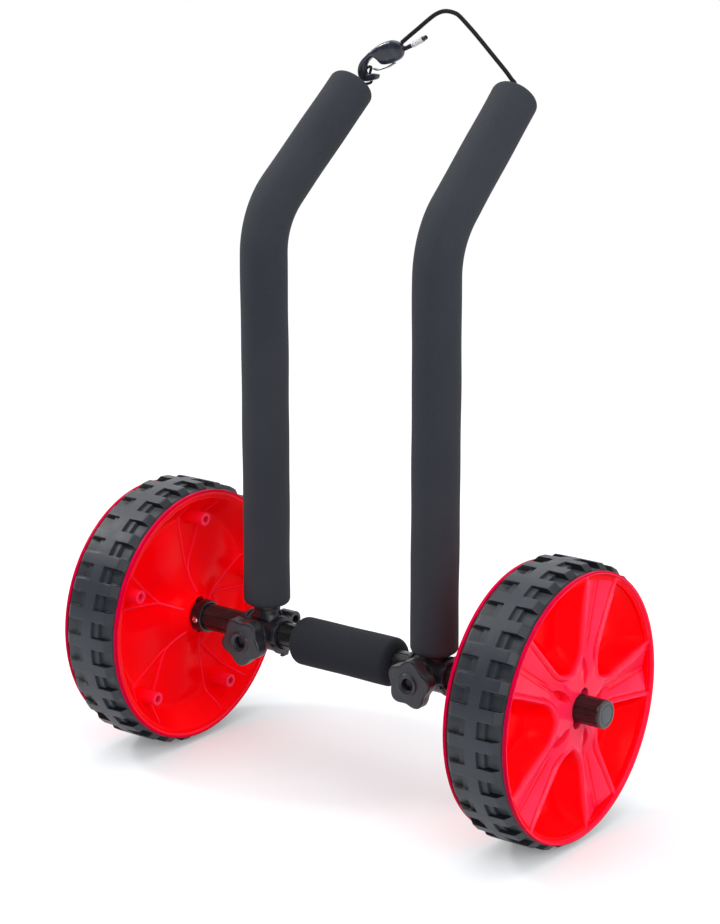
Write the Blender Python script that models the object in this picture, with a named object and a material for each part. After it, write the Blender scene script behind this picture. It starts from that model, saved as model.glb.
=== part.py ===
"""Two-wheeled paddleboard cart: a fluted axle with sliding clamp brackets, two bent uprights in
foam, five-spoke wheels with lugged tyres, and a bungee with a hook across the top.

Metres, +Z up. The origin is on the floor under the middle of the cart's box. X runs along the
axle, the star knobs face -Y, and the uprights bend back towards +Y.
"""

import math

import bmesh
import bpy
from mathutils import Matrix, Vector

MM = 0.001
DEGREE = math.pi / 180

# Gaps between pieces that lie on, in or round each other
SEAT_GAP = 0.3 * MM
RUNNING_GAP = 0.4 * MM

# Axle tube
AXLE_OD = 25.4 * MM
AXLE_BORE = 19.6 * MM
FLUTES = 8
FLUTE_WIDTH = 2.5 * MM
FLUTE_DEPTH = 0.7 * MM

# End caps of the axle
STUB_LENGTH = 24 * MM
CAP_HEAD = 3 * MM
CAP_PLUG_LENGTH = 10 * MM
CAP_ROUNDING = 1.6 * MM

# Wheels
TRACK = 430 * MM
WHEEL_WIDTH = 64 * MM
TYRE_R = 127 * MM
TYRE_STAND = 6 * MM
RIM_R = TYRE_R - TYRE_STAND
LIP_WIDTH = 3 * MM
LIP_THICKNESS = 2 * MM
LIP_FLARE = 0.4 * MM
SPOKES = 5
RIGHT_WHEEL_TURN = 2 * DEGREE
LEFT_WHEEL_TURN = 24.9 * DEGREE

# Barrel of the rim that the tyre sits on
BARREL_STEP = 7.3 * MM
BARREL_R = RIM_R - BARREL_STEP
BARREL_WALL = 3.2 * MM

# Tyre tread
LUGS = 30
LUG_SHARE = 0.45
CENTRE_BAND = 12 * MM
STEP_END = 13 * MM
LUG_END = 23 * MM
SHOULDER_END = 28 * MM
STEP_DEPTH = 2.7 * MM
GROOVE_DEPTH = 5.5 * MM
SHOULDER_DROP = 5 * MM
TYRE_EDGE_DROP = 5.8 * MM

# Hub
HUB_WALL_R = 19.5 * MM
HUB_DROP = 2.5 * MM
NOTCH_R = 4 * MM
NOTCH_CENTRE_R = 14 * MM
NOTCH_ANGLE = 72 * DEGREE
HUB_JOINT = -15 * MM

# Outer shell: spokes and petals
SPOKE_HUB_WIDTH = 20 * MM
SPOKE_RIM_WIDTH = 49 * MM
SPOKE_HUB_R = 38 * MM
SPOKE_RIM_R = RIM_R - 9 * MM
SPOKE_FOOT = 5 * MM
VALLEY_DEPTH = 4.5 * MM
PETAL_INNER_R = 34 * MM
PETAL_DEPTH = 20 * MM
PETAL_SIDE_RUN = 18 * MM
PETAL_HUB_RUN = 28 * MM
PETAL_RIM_RUN = 32 * MM
SHELL_WALL = 3 * MM
FACE_SHARES = (0, 0.12, 0.31, 0.57, 0.83, 1)
SLOT_START_R = 28 * MM
SLOT_END_R = 46 * MM
SLOT_WIDTH = 6.5 * MM
SLOT_DEPTH = 9 * MM

# Inner shell: dish, ridges and screw posts
INNER_HUB_STAND = 0.4 * MM
RIM_SPIGOT = 11 * MM
DISH_DEPTH = 22 * MM
DISH_INNER_R = 36 * MM
DISH_OUTER_R = RIM_R - 26 * MM
RIDGE_APEX_R = 40 * MM
RIDGE_SPREAD = 19 * MM
RIDGE_SPREAD_R = RIM_R - 21 * MM
RIDGE_STEM = 1.2 * MM
RIDGE_WIDTH = 2.4 * MM
RIDGE_HEIGHT = 1.4 * MM
PANEL_BULGE = 5 * MM
POST_CIRCLE_R = RIM_R - 28.6 * MM
POST_R = 6.2 * MM
POST_BORE_R = 3.4 * MM
RIM_SCREW_HEAD_R = 2.9 * MM
RIM_SCREW_HEAD = 2.4 * MM
RIM_SCREW_R = 1.5 * MM
RIM_SCREW_LENGTH = WHEEL_WIDTH - DISH_DEPTH - PETAL_DEPTH + 1 * MM

# Stop collars and their screws
COLLAR_WIDTH = 12 * MM
COLLAR_OD = 31 * MM
COLLAR_BEVEL = 1 * MM
COLLAR_SCREW_HEAD_R = 3.2 * MM
COLLAR_SCREW_HEAD = 1.8 * MM
COLLAR_SCREW_R = 1.6 * MM
COLLAR_SEAT_R = 14.3 * MM

# Snap buttons that hold the wheels on
BUTTON_R = 3.5 * MM
BUTTON_FLANGE_R = 4.6 * MM
BUTTON_FLANGE = 1 * MM
BUTTON_STAND = 3.8 * MM
BUTTON_TO_HUB = 6.4 * MM
SPRING_WIDTH = 7 * MM
SPRING_THICKNESS = 0.6 * MM
SPRING_ARM = 22 * MM

# Clamp brackets
LEFT_BRACKET_X = -101 * MM
RIGHT_BRACKET_X = 90 * MM
BRACKET_LENGTH = 42 * MM
BRACKET_R = 16.8 * MM
BRACKET_FLANGE_R = 18.3 * MM
BRACKET_FLANGE = 4 * MM
NECK_R = 12.3 * MM
NECK_TOP = 24 * MM
SPIGOT_R = 10.6 * MM
SPIGOT_LENGTH = 30 * MM
KEY_WIDTH = 1.8 * MM
KEY_DEPTH = 3 * MM
JOIN = 1 * MM
FLANGE_NOTCHES = 6
FLANGE_NOTCH_R = 2.4 * MM
EAR_R = 8 * MM
EAR_BORE_R = 4.4 * MM
EAR_BORE_DEPTH = 9 * MM
EAR_LENGTH = 16 * MM
EAR_BACK = 16 * MM
EAR_UP = 11 * MM
TOE_WIDTH = 12 * MM
TOE_DROP = 20.5 * MM

# Knob, its boss, its threaded insert and its clamp pad
BOSS_R = 10.5 * MM
BOSS_FRONT = 25.2 * MM
BOSS_BORE_R = 6.3 * MM
INSERT_LENGTH = 5 * MM
STUD_R = 4 * MM
PAD_THICKNESS = 3 * MM
KNOB_BACK = 28.5 * MM
KNOB_THICKNESS = 13 * MM
KNOB_LOBES = 5
KNOB_STEPS = 4
KNOB_TIP_R = 23.5 * MM
KNOB_VALLEY_R = 18 * MM
KNOB_EDGE = 2 * MM
KNOB_RING_R = 9.5 * MM
KNOB_RING = 2 * MM
KNOB_HOLE_R = 5 * MM
KNOB_HOLE_DEPTH = 8 * MM
LEFT_KNOB_TURN = 61 * DEGREE
RIGHT_KNOB_TURN = 0 * DEGREE

# Uprights
UPRIGHT_STRAIGHT = 360 * MM
UPRIGHT_BEND_R = 72 * MM
UPRIGHT_BEND = 50 * DEGREE
UPRIGHT_TOP_RUN = 133 * MM
UPRIGHT_TURN_IN = 3 * DEGREE
UPRIGHT_OD = 25.4 * MM
UPRIGHT_BORE = 21.8 * MM
PIN_R = 2 * MM
PIN_DEPTH = 8 * MM
PIN_UP = 16 * MM

# Foam
FOAM_OD = 43.4 * MM
FOAM_ROUNDING = 8 * MM
FOAM_FOOT = 26 * MM
FOAM_OVER_TUBE = 6 * MM
SLEEVE_LEFT_X = -61 * MM
SLEEVE_RIGHT_X = 50 * MM

# Top plugs
PLUG_HEAD = 2 * MM
PLUG_LENGTH = 12 * MM
LOOP_PLUG_BORE_R = 3.6 * MM
KNOT_R = 5 * MM

# Cords
BUNGEE_D = 4 * MM
LOOP_CORD_D = 2.6 * MM
LOOP_CLEAR = 0.8 * MM
END_SLEEVE_WALL = 0.5 * MM
END_SLEEVE_LENGTH = 12 * MM
END_SLEEVE_LAP = 7 * MM
TIP_LENGTH = 4 * MM
TIP_BEVEL = 0.8 * MM
CORD_LEAVE = 8 * MM

# Hook
HOOK_THICKNESS = 7 * MM
HOOK_EDGE = 1.4 * MM
HOOK_STEP = 3.6 * MM
GATE_THICKNESS = 1.2 * MM
GATE_WIDTH = 5 * MM

# The cords and the hook are drawn on the upright plane through the tube tops. These points are
# (x, z) in millimetres from the middle of the axle.
CORD_PLANE_Y = 131 * MM
BUNGEE_ROUTE = (
    (-42.6, 541.2),
    (-34, 547.8),
    (-24.1, 555.2),
    (-13.4, 563.4),
    (-5.7, 568.6),
    (1.6, 571.6),
    (8, 572.3),
    (14.6, 571.3),
    (20.4, 568.8),
    (32.6, 558.8),
    (41.8, 550.6),
    (50.9, 542.1),
    (61, 532.6),
    (70.8, 523.4),
    (77.4, 516),
)
TAIL_ROUTE = ((-40.3, 535.3), (-35, 537.6), (-30, 540.1), (-24.3, 543.1))
HOOK_OUTLINE = (
    (-44.6, 541),
    (-52, 542.6),
    (-58, 541.6),
    (-66.5, 538.3),
    (-74.5, 533.2),
    (-82, 527.2),
    (-88, 521.6),
    (-91.4, 515.4),
    (-91.8, 509.6),
    (-89.4, 505),
    (-83.6, 502.8),
    (-76.4, 503.6),
    (-70.8, 506.8),
    (-70.2, 510.6),
    (-74.4, 511.4),
    (-79.4, 509.6),
    (-82.4, 511.8),
    (-82.6, 516.4),
    (-80.6, 520.6),
    (-76.6, 523.8),
    (-72.2, 525),
    (-67.4, 523),
    (-62.8, 520.8),
    (-55, 521.6),
    (-47.2, 524.4),
    (-42.4, 528.6),
    (-40.8, 533.4),
    (-41.8, 538),
)
HOOK_BAR = (-83.2, 506)
GATE_ROUTE = ((-51, 521.8), (-56.6, 518.4), (-63.4, 515.8), (-69.2, 514.2), (-74, 515.2))

ROUND_SIDES = 16
MIDDLE_SIDES = 12
SMALL_SIDES = 8
SCREW_SIDES = 6
BEND_STEPS = 4


def foam_reach():
    """How far the rounded foam end reaches behind the axle."""
    ring_r = FOAM_OD / 2 - FOAM_ROUNDING
    back = UPRIGHT_BEND_R * (1 - math.cos(UPRIGHT_BEND))
    back += (UPRIGHT_TOP_RUN - FOAM_ROUNDING) * math.sin(UPRIGHT_BEND)
    turned_in = math.cos(UPRIGHT_TURN_IN)
    tilt = math.hypot(math.cos(UPRIGHT_BEND) * turned_in, math.sin(UPRIGHT_TURN_IN))
    return back * turned_in + ring_r * tilt + FOAM_ROUNDING


LUG_PITCH = 2 * math.pi / LUGS
TREAD_R = TYRE_R / math.cos(LUG_PITCH * (1 - LUG_SHARE) / 2)
AXLE_Y = (TYRE_R - foam_reach()) / 2
AXLE = Vector((0, AXLE_Y, TYRE_R))

FINISHES = {
    "black_satin": ((0.018, 0.019, 0.022), 0.42, 0.0),
    "black_tube": ((0.012, 0.012, 0.014), 0.34, 0.6),
    "foam": ((0.034, 0.037, 0.042), 0.9, 0.0),
    "tyre": ((0.036, 0.046, 0.052), 0.72, 0.0),
    "red_plastic": ((0.9, 0.004, 0.008), 0.24, 0.0),
    "dark_plastic": ((0.03, 0.031, 0.036), 0.4, 0.0),
    "grey_cap": ((0.16, 0.18, 0.18), 0.5, 0.0),
    "bright_steel": ((0.6, 0.6, 0.6), 0.25, 1.0),
    "brass": ((0.6, 0.42, 0.16), 0.35, 1.0),
    "cord": ((0.016, 0.016, 0.018), 0.8, 0.0),
    "clear_sleeve": ((0.8, 0.8, 0.78), 0.25, 0.0),
}


def clear_scene():
    for obj in list(bpy.data.objects):
        bpy.data.objects.remove(obj)


def finish(name):
    """The material of that name, made when it is first asked for."""
    found = bpy.data.materials.get(name)
    if found:
        return found
    colour, roughness, metallic = FINISHES[name]
    made = bpy.data.materials.new(name)
    made.use_nodes = True
    shader = made.node_tree.nodes["Principled BSDF"]
    shader.inputs["Base Color"].default_value = (*colour, 1)
    shader.inputs["Roughness"].default_value = roughness
    shader.inputs["Metallic"].default_value = metallic
    made.diffuse_color = (*colour, 1)
    return made


def empty(name, location, parent=None, rotation=(0, 0, 0)):
    """A joint's axis or a sub-assembly's place."""
    holder = bpy.data.objects.new(name, None)
    holder.empty_display_size = 20 * MM
    holder.location = location
    holder.rotation_euler = rotation
    holder.parent = parent
    bpy.context.scene.collection.objects.link(holder)
    return holder


def add(name, mesh, material, parent, location=(0, 0, 0), rotation=(0, 0, 0)):
    """An object in the scene from a bmesh, or one that shares a finished mesh."""
    if isinstance(mesh, bmesh.types.BMesh):
        shape = bpy.data.meshes.new(name)
        bmesh.ops.recalc_face_normals(mesh, faces=mesh.faces)
        mesh.to_mesh(shape)
        mesh.free()
        shape.shade_smooth()
        shape.set_sharp_from_angle(angle=35 * DEGREE)
        shape.materials.append(finish(material))
        mesh = shape
    obj = bpy.data.objects.new(name, mesh)
    obj.location = location
    obj.rotation_euler = rotation
    obj.parent = parent
    bpy.context.scene.collection.objects.link(obj)
    return obj


def boolean(target, helper, operation="DIFFERENCE"):
    """Cut the helper from the target, or join it on, and keep the helper out of the model."""
    helper.hide_render = True
    helper.display_type = "WIRE"
    modifier = target.modifiers.new(helper.name, "BOOLEAN")
    modifier.operation = operation
    modifier.solver = "EXACT"
    modifier.object = helper


def bevel(target, width, segments=1, angle=40 * DEGREE):
    modifier = target.modifiers.new("Bevel", "BEVEL")
    modifier.width = width
    modifier.segments = segments
    modifier.limit_method = "ANGLE"
    modifier.angle_limit = angle


def turned(profile, sides):
    """A profile of (radius, height) points turned about Z. One that starts and ends on the axis
    makes a solid, and any other is closed into a ring."""
    mesh = bmesh.new()
    points = [mesh.verts.new((radius, 0, height)) for radius, height in profile]
    edges = [mesh.edges.new(pair) for pair in zip(points, points[1:])]
    if profile[0][0] > 0:
        edges.append(mesh.edges.new((points[-1], points[0])))
    bmesh.ops.spin(
        mesh,
        geom=points + edges,
        cent=(0, 0, 0),
        axis=(0, 0, 1),
        angle=2 * math.pi,
        steps=sides,
        use_merge=True,
    )
    bmesh.ops.remove_doubles(mesh, verts=mesh.verts, dist=0.001 * MM)
    return mesh


def pin_shape(radius, start, end, sides):
    """A plain round bar along Z."""
    return turned(((0, start), (radius, start), (radius, end), (0, end)), sides)


def block(size, centre=(0, 0, 0)):
    mesh = bmesh.new()
    place = Matrix.Translation(centre) @ Matrix.Diagonal((*size, 1))
    bmesh.ops.create_cube(mesh, size=1, matrix=place)
    return mesh


def bridge(mesh, first, second):
    """Faces between two closed rings of vertices, of equal count or two to one."""
    if len(first) < len(second):
        first, second = second, first
    ratio = len(first) // len(second)
    for i in range(len(second)):
        here = first[i * ratio]
        after = first[(i + 1) * ratio % len(first)]
        below, below_after = second[i], second[(i + 1) % len(second)]
        if ratio == 1:
            mesh.faces.new((here, after, below_after, below))
        else:
            middle = first[i * ratio + 1]
            mesh.faces.new((here, middle, below))
            mesh.faces.new((middle, after, below_after, below))


def bridge_all(mesh, rings, closed):
    for first, second in zip(rings, rings[1:]):
        bridge(mesh, first, second)
    if closed:
        bridge(mesh, rings[-1], rings[0])


def polar_ring(mesh, radius, angles, along):
    """Vertices round the X axis. along gives X, as one number or as a function of the angle."""
    ring = []
    for angle in angles:
        x = along(angle) if callable(along) else along
        ring.append(mesh.verts.new((x, radius * math.cos(angle), radius * math.sin(angle))))
    return ring


def even_angles(count):
    return [2 * math.pi * i / count for i in range(count)]


def smooth_points(route, spacing):
    """Points at an even spacing along a smooth curve through the route's own points."""
    points = [Vector(point) for point in route]
    padded = [2 * points[0] - points[1], *points, 2 * points[-1] - points[-2]]
    fine = []
    for a, b, c, d in zip(padded, padded[1:], padded[2:], padded[3:]):
        for step in range(24):
            t = step / 24
            swing = (c - a) * t + (2 * a - 5 * b + 4 * c - d) * t**2
            fine.append(b + 0.5 * (swing + (3 * b - a - 3 * c + d) * t**3))
    fine.append(points[-1])
    lengths = [0.0]
    for first, second in zip(fine, fine[1:]):
        lengths.append(lengths[-1] + (second - first).length)
    count = max(2, round(lengths[-1] / spacing))
    even = []
    at = 0
    for i in range(count + 1):
        wanted = lengths[-1] * i / count
        while at < len(fine) - 2 and lengths[at + 1] < wanted:
            at += 1
        share = (wanted - lengths[at]) / (lengths[at + 1] - lengths[at])
        even.append(fine[at].lerp(fine[at + 1], min(1, share)))
    return even


def cord(name, points, diameter, parent, material="cord"):
    """A round cord along the points, as a bevelled curve with filled ends."""
    curve = bpy.data.curves.new(name, "CURVE")
    curve.dimensions = "3D"
    curve.bevel_depth = diameter / 2
    curve.bevel_resolution = 2
    curve.use_fill_caps = True
    spline = curve.splines.new("POLY")
    spline.points.add(len(points) - 1)
    for point, place in zip(spline.points, points):
        point.co = (*place, 1)
    curve.materials.append(finish(material))
    obj = bpy.data.objects.new(name, curve)
    obj.parent = parent
    bpy.context.scene.collection.objects.link(obj)
    return obj


# Axle


def axle_outline(mesh, x):
    """One ring of the fluted outline: a flute, then the land up to the next flute."""
    pitch = 2 * math.pi / FLUTES
    half_flute = FLUTE_WIDTH / AXLE_OD
    floor_r = AXLE_OD / 2 - FLUTE_DEPTH
    land = pitch - 2 * half_flute
    ring = []
    for flute in range(FLUTES):
        centre = (flute + 0.5) * pitch
        spots = [(-half_flute, AXLE_OD / 2), (-half_flute * 0.8, floor_r)]
        spots += [(half_flute * 0.8, floor_r), (half_flute, AXLE_OD / 2)]
        spots += [(half_flute + land * share, AXLE_OD / 2) for share in (1 / 3, 2 / 3)]
        for angle, radius in spots:
            ring += polar_ring(mesh, radius, [centre + angle], x)
    return ring


def build_axle(root):
    half = TRACK / 2 + WHEEL_WIDTH / 2 + STUB_LENGTH - CAP_HEAD - SEAT_GAP
    mesh = bmesh.new()
    start = 0.5 * 2 * math.pi / FLUTES
    inner = [start + angle for angle in even_angles(FLUTES * 3)]
    rings = [axle_outline(mesh, -half), axle_outline(mesh, half)]
    rings += [polar_ring(mesh, AXLE_BORE / 2, inner, x) for x in (half, -half)]
    bridge_all(mesh, rings, closed=True)
    tube = add("axle_tube", mesh, "black_tube", root)
    for side in (-1, 1):
        hole = pin_shape(BUTTON_R + SEAT_GAP, 0, AXLE_OD, SMALL_SIDES + 2)
        place = (side * button_x(), 0, 0)
        boolean(tube, add("button_hole", hole, "black_tube", root, place, (-math.pi / 2, 0, 0)))


def build_end_caps(root):
    head_r = AXLE_OD / 2 - 0.1 * MM
    plug_r = AXLE_BORE / 2 * math.cos(math.pi / FLUTES / 3) - SEAT_GAP
    face = CAP_HEAD
    profile = (
        (0, -SEAT_GAP - CAP_PLUG_LENGTH),
        (plug_r, -SEAT_GAP - CAP_PLUG_LENGTH),
        (plug_r, 0),
        (head_r, 0),
        (head_r, face - CAP_ROUNDING),
        (head_r - 0.3 * CAP_ROUNDING, face - 0.3 * CAP_ROUNDING),
        (head_r - CAP_ROUNDING, face),
        (0, face),
    )
    edge = TRACK / 2 + WHEEL_WIDTH / 2 + STUB_LENGTH - CAP_HEAD
    for name, side in (("left", -1), ("right", 1)):
        mesh = turned(profile, ROUND_SIDES)
        outwards = (0, side * math.pi / 2, 0)
        add(f"end_cap_{name}", mesh, "grey_cap", root, (side * edge, 0, 0), outwards)


def build_collars(root):
    bore_r = AXLE_OD / 2 + SEAT_GAP
    outer_r = COLLAR_OD / 2
    profile = (
        (bore_r, 0),
        (outer_r - COLLAR_BEVEL, 0),
        (outer_r, COLLAR_BEVEL),
        (outer_r, COLLAR_WIDTH - COLLAR_BEVEL),
        (outer_r - COLLAR_BEVEL, COLLAR_WIDTH),
        (bore_r, COLLAR_WIDTH),
    )
    seat_r = COLLAR_SEAT_R
    screw = (
        (0, bore_r),
        (COLLAR_SCREW_R, bore_r),
        (COLLAR_SCREW_R, seat_r + SEAT_GAP),
        (COLLAR_SCREW_HEAD_R, seat_r + SEAT_GAP),
        (COLLAR_SCREW_HEAD_R, seat_r + COLLAR_SCREW_HEAD - SEAT_GAP),
        (COLLAR_SCREW_HEAD_R / 2, seat_r + COLLAR_SCREW_HEAD + SEAT_GAP),
        (0, seat_r + COLLAR_SCREW_HEAD + SEAT_GAP),
    )
    hole = (
        (0, 0),
        (COLLAR_SCREW_R + SEAT_GAP, 0),
        (COLLAR_SCREW_R + SEAT_GAP, seat_r),
        (COLLAR_SCREW_HEAD_R + SEAT_GAP, seat_r),
        (COLLAR_SCREW_HEAD_R + SEAT_GAP, COLLAR_OD),
        (0, COLLAR_OD),
    )
    outer_face = TRACK / 2 - WHEEL_WIDTH / 2
    forward = (math.pi / 2, 0, 0)
    for name, side in (("left", -1), ("right", 1)):
        place = (side * outer_face, 0, 0)
        ring = turned(profile, ROUND_SIDES)
        inwards = (0, -side * math.pi / 2, 0)
        collar = add(f"stop_collar_{name}", ring, "black_satin", root, place, inwards)
        middle = (side * (outer_face - COLLAR_WIDTH / 2), 0, 0)
        hole_mesh = turned(hole, SMALL_SIDES)
        boolean(collar, add(f"collar_hole_{name}", hole_mesh, "black_satin", root, middle, forward))
        add(f"collar_screw_{name}", turned(screw, SMALL_SIDES), "bright_steel", root, middle, forward)


def foam_tube(start, end, bore_r, sides):
    """A straight foam sleeve with rounded ends, along Z."""
    outer_r = FOAM_OD / 2
    profile = [(bore_r, start)]
    for quarter in (0, 0.5, 1):
        angle = quarter * math.pi / 2
        inset = FOAM_ROUNDING * (1 - math.sin(angle))
        profile.append((outer_r - inset, start + FOAM_ROUNDING * (1 - math.cos(angle))))
    middle = (start + end) / 2
    profile += [(radius, 2 * middle - height) for radius, height in reversed(profile)]
    return turned(profile, sides)


def build_centre_sleeve(root):
    bore_r = AXLE_OD / 2 + SEAT_GAP
    mesh = foam_tube(SLEEVE_LEFT_X, SLEEVE_RIGHT_X, bore_r, ROUND_SIDES + 2)
    add("centre_sleeve", mesh, "foam", root, rotation=(0, math.pi / 2, 0))


# Snap buttons


def button_x():
    return TRACK / 2 + WHEEL_WIDTH / 2 - HUB_DROP + BUTTON_TO_HUB


def build_snap_buttons(root):
    bore = AXLE_BORE / 2 * math.cos(math.pi / FLUTES / 3)
    shoulder = math.sqrt(bore**2 - BUTTON_FLANGE_R**2) - SEAT_GAP
    top = AXLE_OD / 2 + BUTTON_STAND
    button = (
        (0, shoulder - BUTTON_FLANGE),
        (BUTTON_FLANGE_R, shoulder - BUTTON_FLANGE),
        (BUTTON_FLANGE_R, shoulder),
        (BUTTON_R, shoulder),
        (BUTTON_R, top - BUTTON_R / 2),
        (BUTTON_R * 0.7, top - BUTTON_R * 0.12),
        (0, top),
    )
    arm = shoulder - BUTTON_FLANGE - SEAT_GAP - SPRING_THICKNESS / 2
    foot = math.sqrt(bore**2 - (SPRING_WIDTH / 2) ** 2) - 2 * SEAT_GAP - SPRING_THICKNESS / 2
    bend_r = (arm + foot) / 2
    bend_y = (arm - foot) / 2
    path = [Vector((BUTTON_FLANGE_R, arm))]
    for step in range(9):
        angle = math.pi * step / 8
        path.append(Vector((-SPRING_ARM - bend_r * math.sin(angle), bend_y + bend_r * math.cos(angle))))
    path.append(Vector((0, -foot)))
    outward = (-math.pi / 2, 0, 0)
    for name, side in (("left", -1), ("right", 1)):
        axis = empty(f"button_{name}_axis", (side * button_x(), 0, 0), root)
        mesh = turned(button, SMALL_SIDES + 2)
        add(f"snap_button_{name}", mesh, "bright_steel", axis, rotation=outward)
        mirrored = [Vector((side * point.x, point.y)) for point in path]
        spring = strip(mirrored, SPRING_THICKNESS, SPRING_WIDTH)
        add(f"button_spring_{name}", spring, "bright_steel", axis, rotation=outward)


def strip(path, thickness, width):
    """A flat strip of this thickness bent along a path in XZ, and this wide along Y."""
    mesh = bmesh.new()
    rings = []
    for i, point in enumerate(path):
        before = path[max(0, i - 1)]
        after = path[min(len(path) - 1, i + 1)]
        run = (after - before).normalized()
        normal = Vector((-run.y, run.x)) * thickness / 2
        ring = []
        for sign, half in ((1, -width / 2), (1, width / 2), (-1, width / 2), (-1, -width / 2)):
            corner = point + sign * normal
            ring.append(mesh.verts.new((corner.x, half, corner.y)))
        rings.append(ring)
    bridge_all(mesh, rings, closed=False)
    mesh.faces.new(rings[0])
    mesh.faces.new(rings[-1])
    return mesh


# Wheels: meshes face outwards along +X from the wheel's middle, with a spoke along +Y


def tyre_mesh():
    """Two rows of lugs that run out from a centre band to bevelled ends, over a smooth shoulder.
    Between two lugs the floor has a step beside the band and a deep groove outside it."""
    lug = LUG_PITCH * LUG_SHARE
    angles = []
    for i in range(LUGS):
        angles += [i * LUG_PITCH - lug / 2, i * LUG_PITCH + lug / 2]
    half = WHEEL_WIDTH / 2 - LIP_THICKNESS - SEAT_GAP
    bore_r = BARREL_R + 1.6 * SEAT_GAP
    mesh = bmesh.new()
    band = {}
    for side in (-1, 1):
        top_in = polar_ring(mesh, TREAD_R, angles, side * CENTRE_BAND / 2)
        top_out = polar_ring(mesh, TREAD_R, angles, side * LUG_END)
        shoulder = polar_ring(mesh, TREAD_R - SHOULDER_DROP, angles, side * SHOULDER_END)
        step_in = polar_ring(mesh, TREAD_R - STEP_DEPTH, angles, side * CENTRE_BAND / 2)
        step_out = polar_ring(mesh, TREAD_R - STEP_DEPTH, angles, side * STEP_END)
        groove = polar_ring(mesh, TREAD_R - GROOVE_DEPTH, angles, side * STEP_END)
        edge = polar_ring(mesh, TREAD_R - TYRE_EDGE_DROP, angles, side * half)
        bore = polar_ring(mesh, bore_r, angles, side * half)
        for i in range(len(angles)):
            j = (i + 1) % len(angles)
            in_lug = i % 2 == 0
            strips = ((top_in, top_out), (top_out, shoulder))
            if not in_lug:
                strips = ((top_in, step_in), (step_in, step_out), (step_out, groove), (groove, shoulder))
            for a, b in strips:
                mesh.faces.new((a[i], a[j], b[j], b[i]))
            wall = (top_in[i], top_out[i], shoulder[i], groove[i], step_out[i], step_in[i])
            mesh.faces.new(wall)
        bridge_all(mesh, [shoulder, edge, bore], closed=False)
        band[side] = (top_in, bore)
    bridge(mesh, band[-1][0], band[1][0])
    bridge(mesh, band[-1][1], band[1][1])
    return mesh


def spoke_half_width(radius):
    flare = (SPOKE_RIM_WIDTH - SPOKE_HUB_WIDTH) / (SPOKE_RIM_R - SPOKE_HUB_R)
    return (SPOKE_HUB_WIDTH + (radius - SPOKE_HUB_R) * flare) / 2


def ridge_half_width(radius):
    spread = RIDGE_SPREAD / (RIDGE_SPREAD_R - RIDGE_APEX_R)
    return max(RIDGE_STEM, (radius - RIDGE_APEX_R) * spread)


def sector_angles(radius, half_width, foot):
    """Angles of one ring: the middle of a spoke, its edge, its foot, and on to the next spoke."""
    middle = math.pi / SPOKES
    edge = min(half_width / radius, 0.5 * middle)
    low = min((half_width + foot) / radius, 0.74 * middle)
    quarter = (low + middle) / 2
    half = [edge, low, quarter]
    spots = [0, *half, middle, *[2 * middle - angle for angle in reversed(half)]]
    return [spoke * 2 * middle + angle for spoke in range(SPOKES) for angle in spots]


def from_spoke(angle):
    """The angle from the nearest spoke, from 0 to half a sector."""
    pitch = 2 * math.pi / SPOKES
    return abs((angle + pitch / 2) % pitch - pitch / 2)


def eased(share):
    """Rises steeply from 0 and flattens out at 1."""
    return math.sin(math.pi / 2 * min(1, max(0, share)))


def outer_face_x(radius, angle):
    """The outer shell's face: a shallow V along each spoke and a deep petal between two."""
    plane = WHEEL_WIDTH / 2 - HUB_DROP
    across = radius * from_spoke(angle)
    half_width = spoke_half_width(radius)
    if across <= half_width:
        run = eased((radius - SLOT_START_R) / (SLOT_END_R - SLOT_START_R))
        return plane - VALLEY_DEPTH * run * (1 - across / half_width)
    depth = eased((across - half_width) / PETAL_SIDE_RUN)
    depth *= eased((radius - PETAL_INNER_R) / PETAL_HUB_RUN)
    depth *= eased((RIM_R - LIP_WIDTH - radius) / PETAL_RIM_RUN)
    return plane - PETAL_DEPTH * depth


def hub_bore_r():
    return AXLE_OD / 2 + RUNNING_GAP


def notch_cutters(target, parent_name, root):
    """Two grooves along the hub's bore, wide enough for the snap button to pass."""
    for i in range(2):
        angle = NOTCH_ANGLE + i * math.pi
        place = (0, NOTCH_CENTRE_R * math.cos(angle), NOTCH_CENTRE_R * math.sin(angle))
        mesh = pin_shape(NOTCH_R, -WHEEL_WIDTH, WHEEL_WIDTH, SMALL_SIDES)
        cutter = add(f"{parent_name}_notch_{i}", mesh, "red_plastic", root, place, (0, math.pi / 2, 0))
        boolean(target, cutter)


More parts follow.
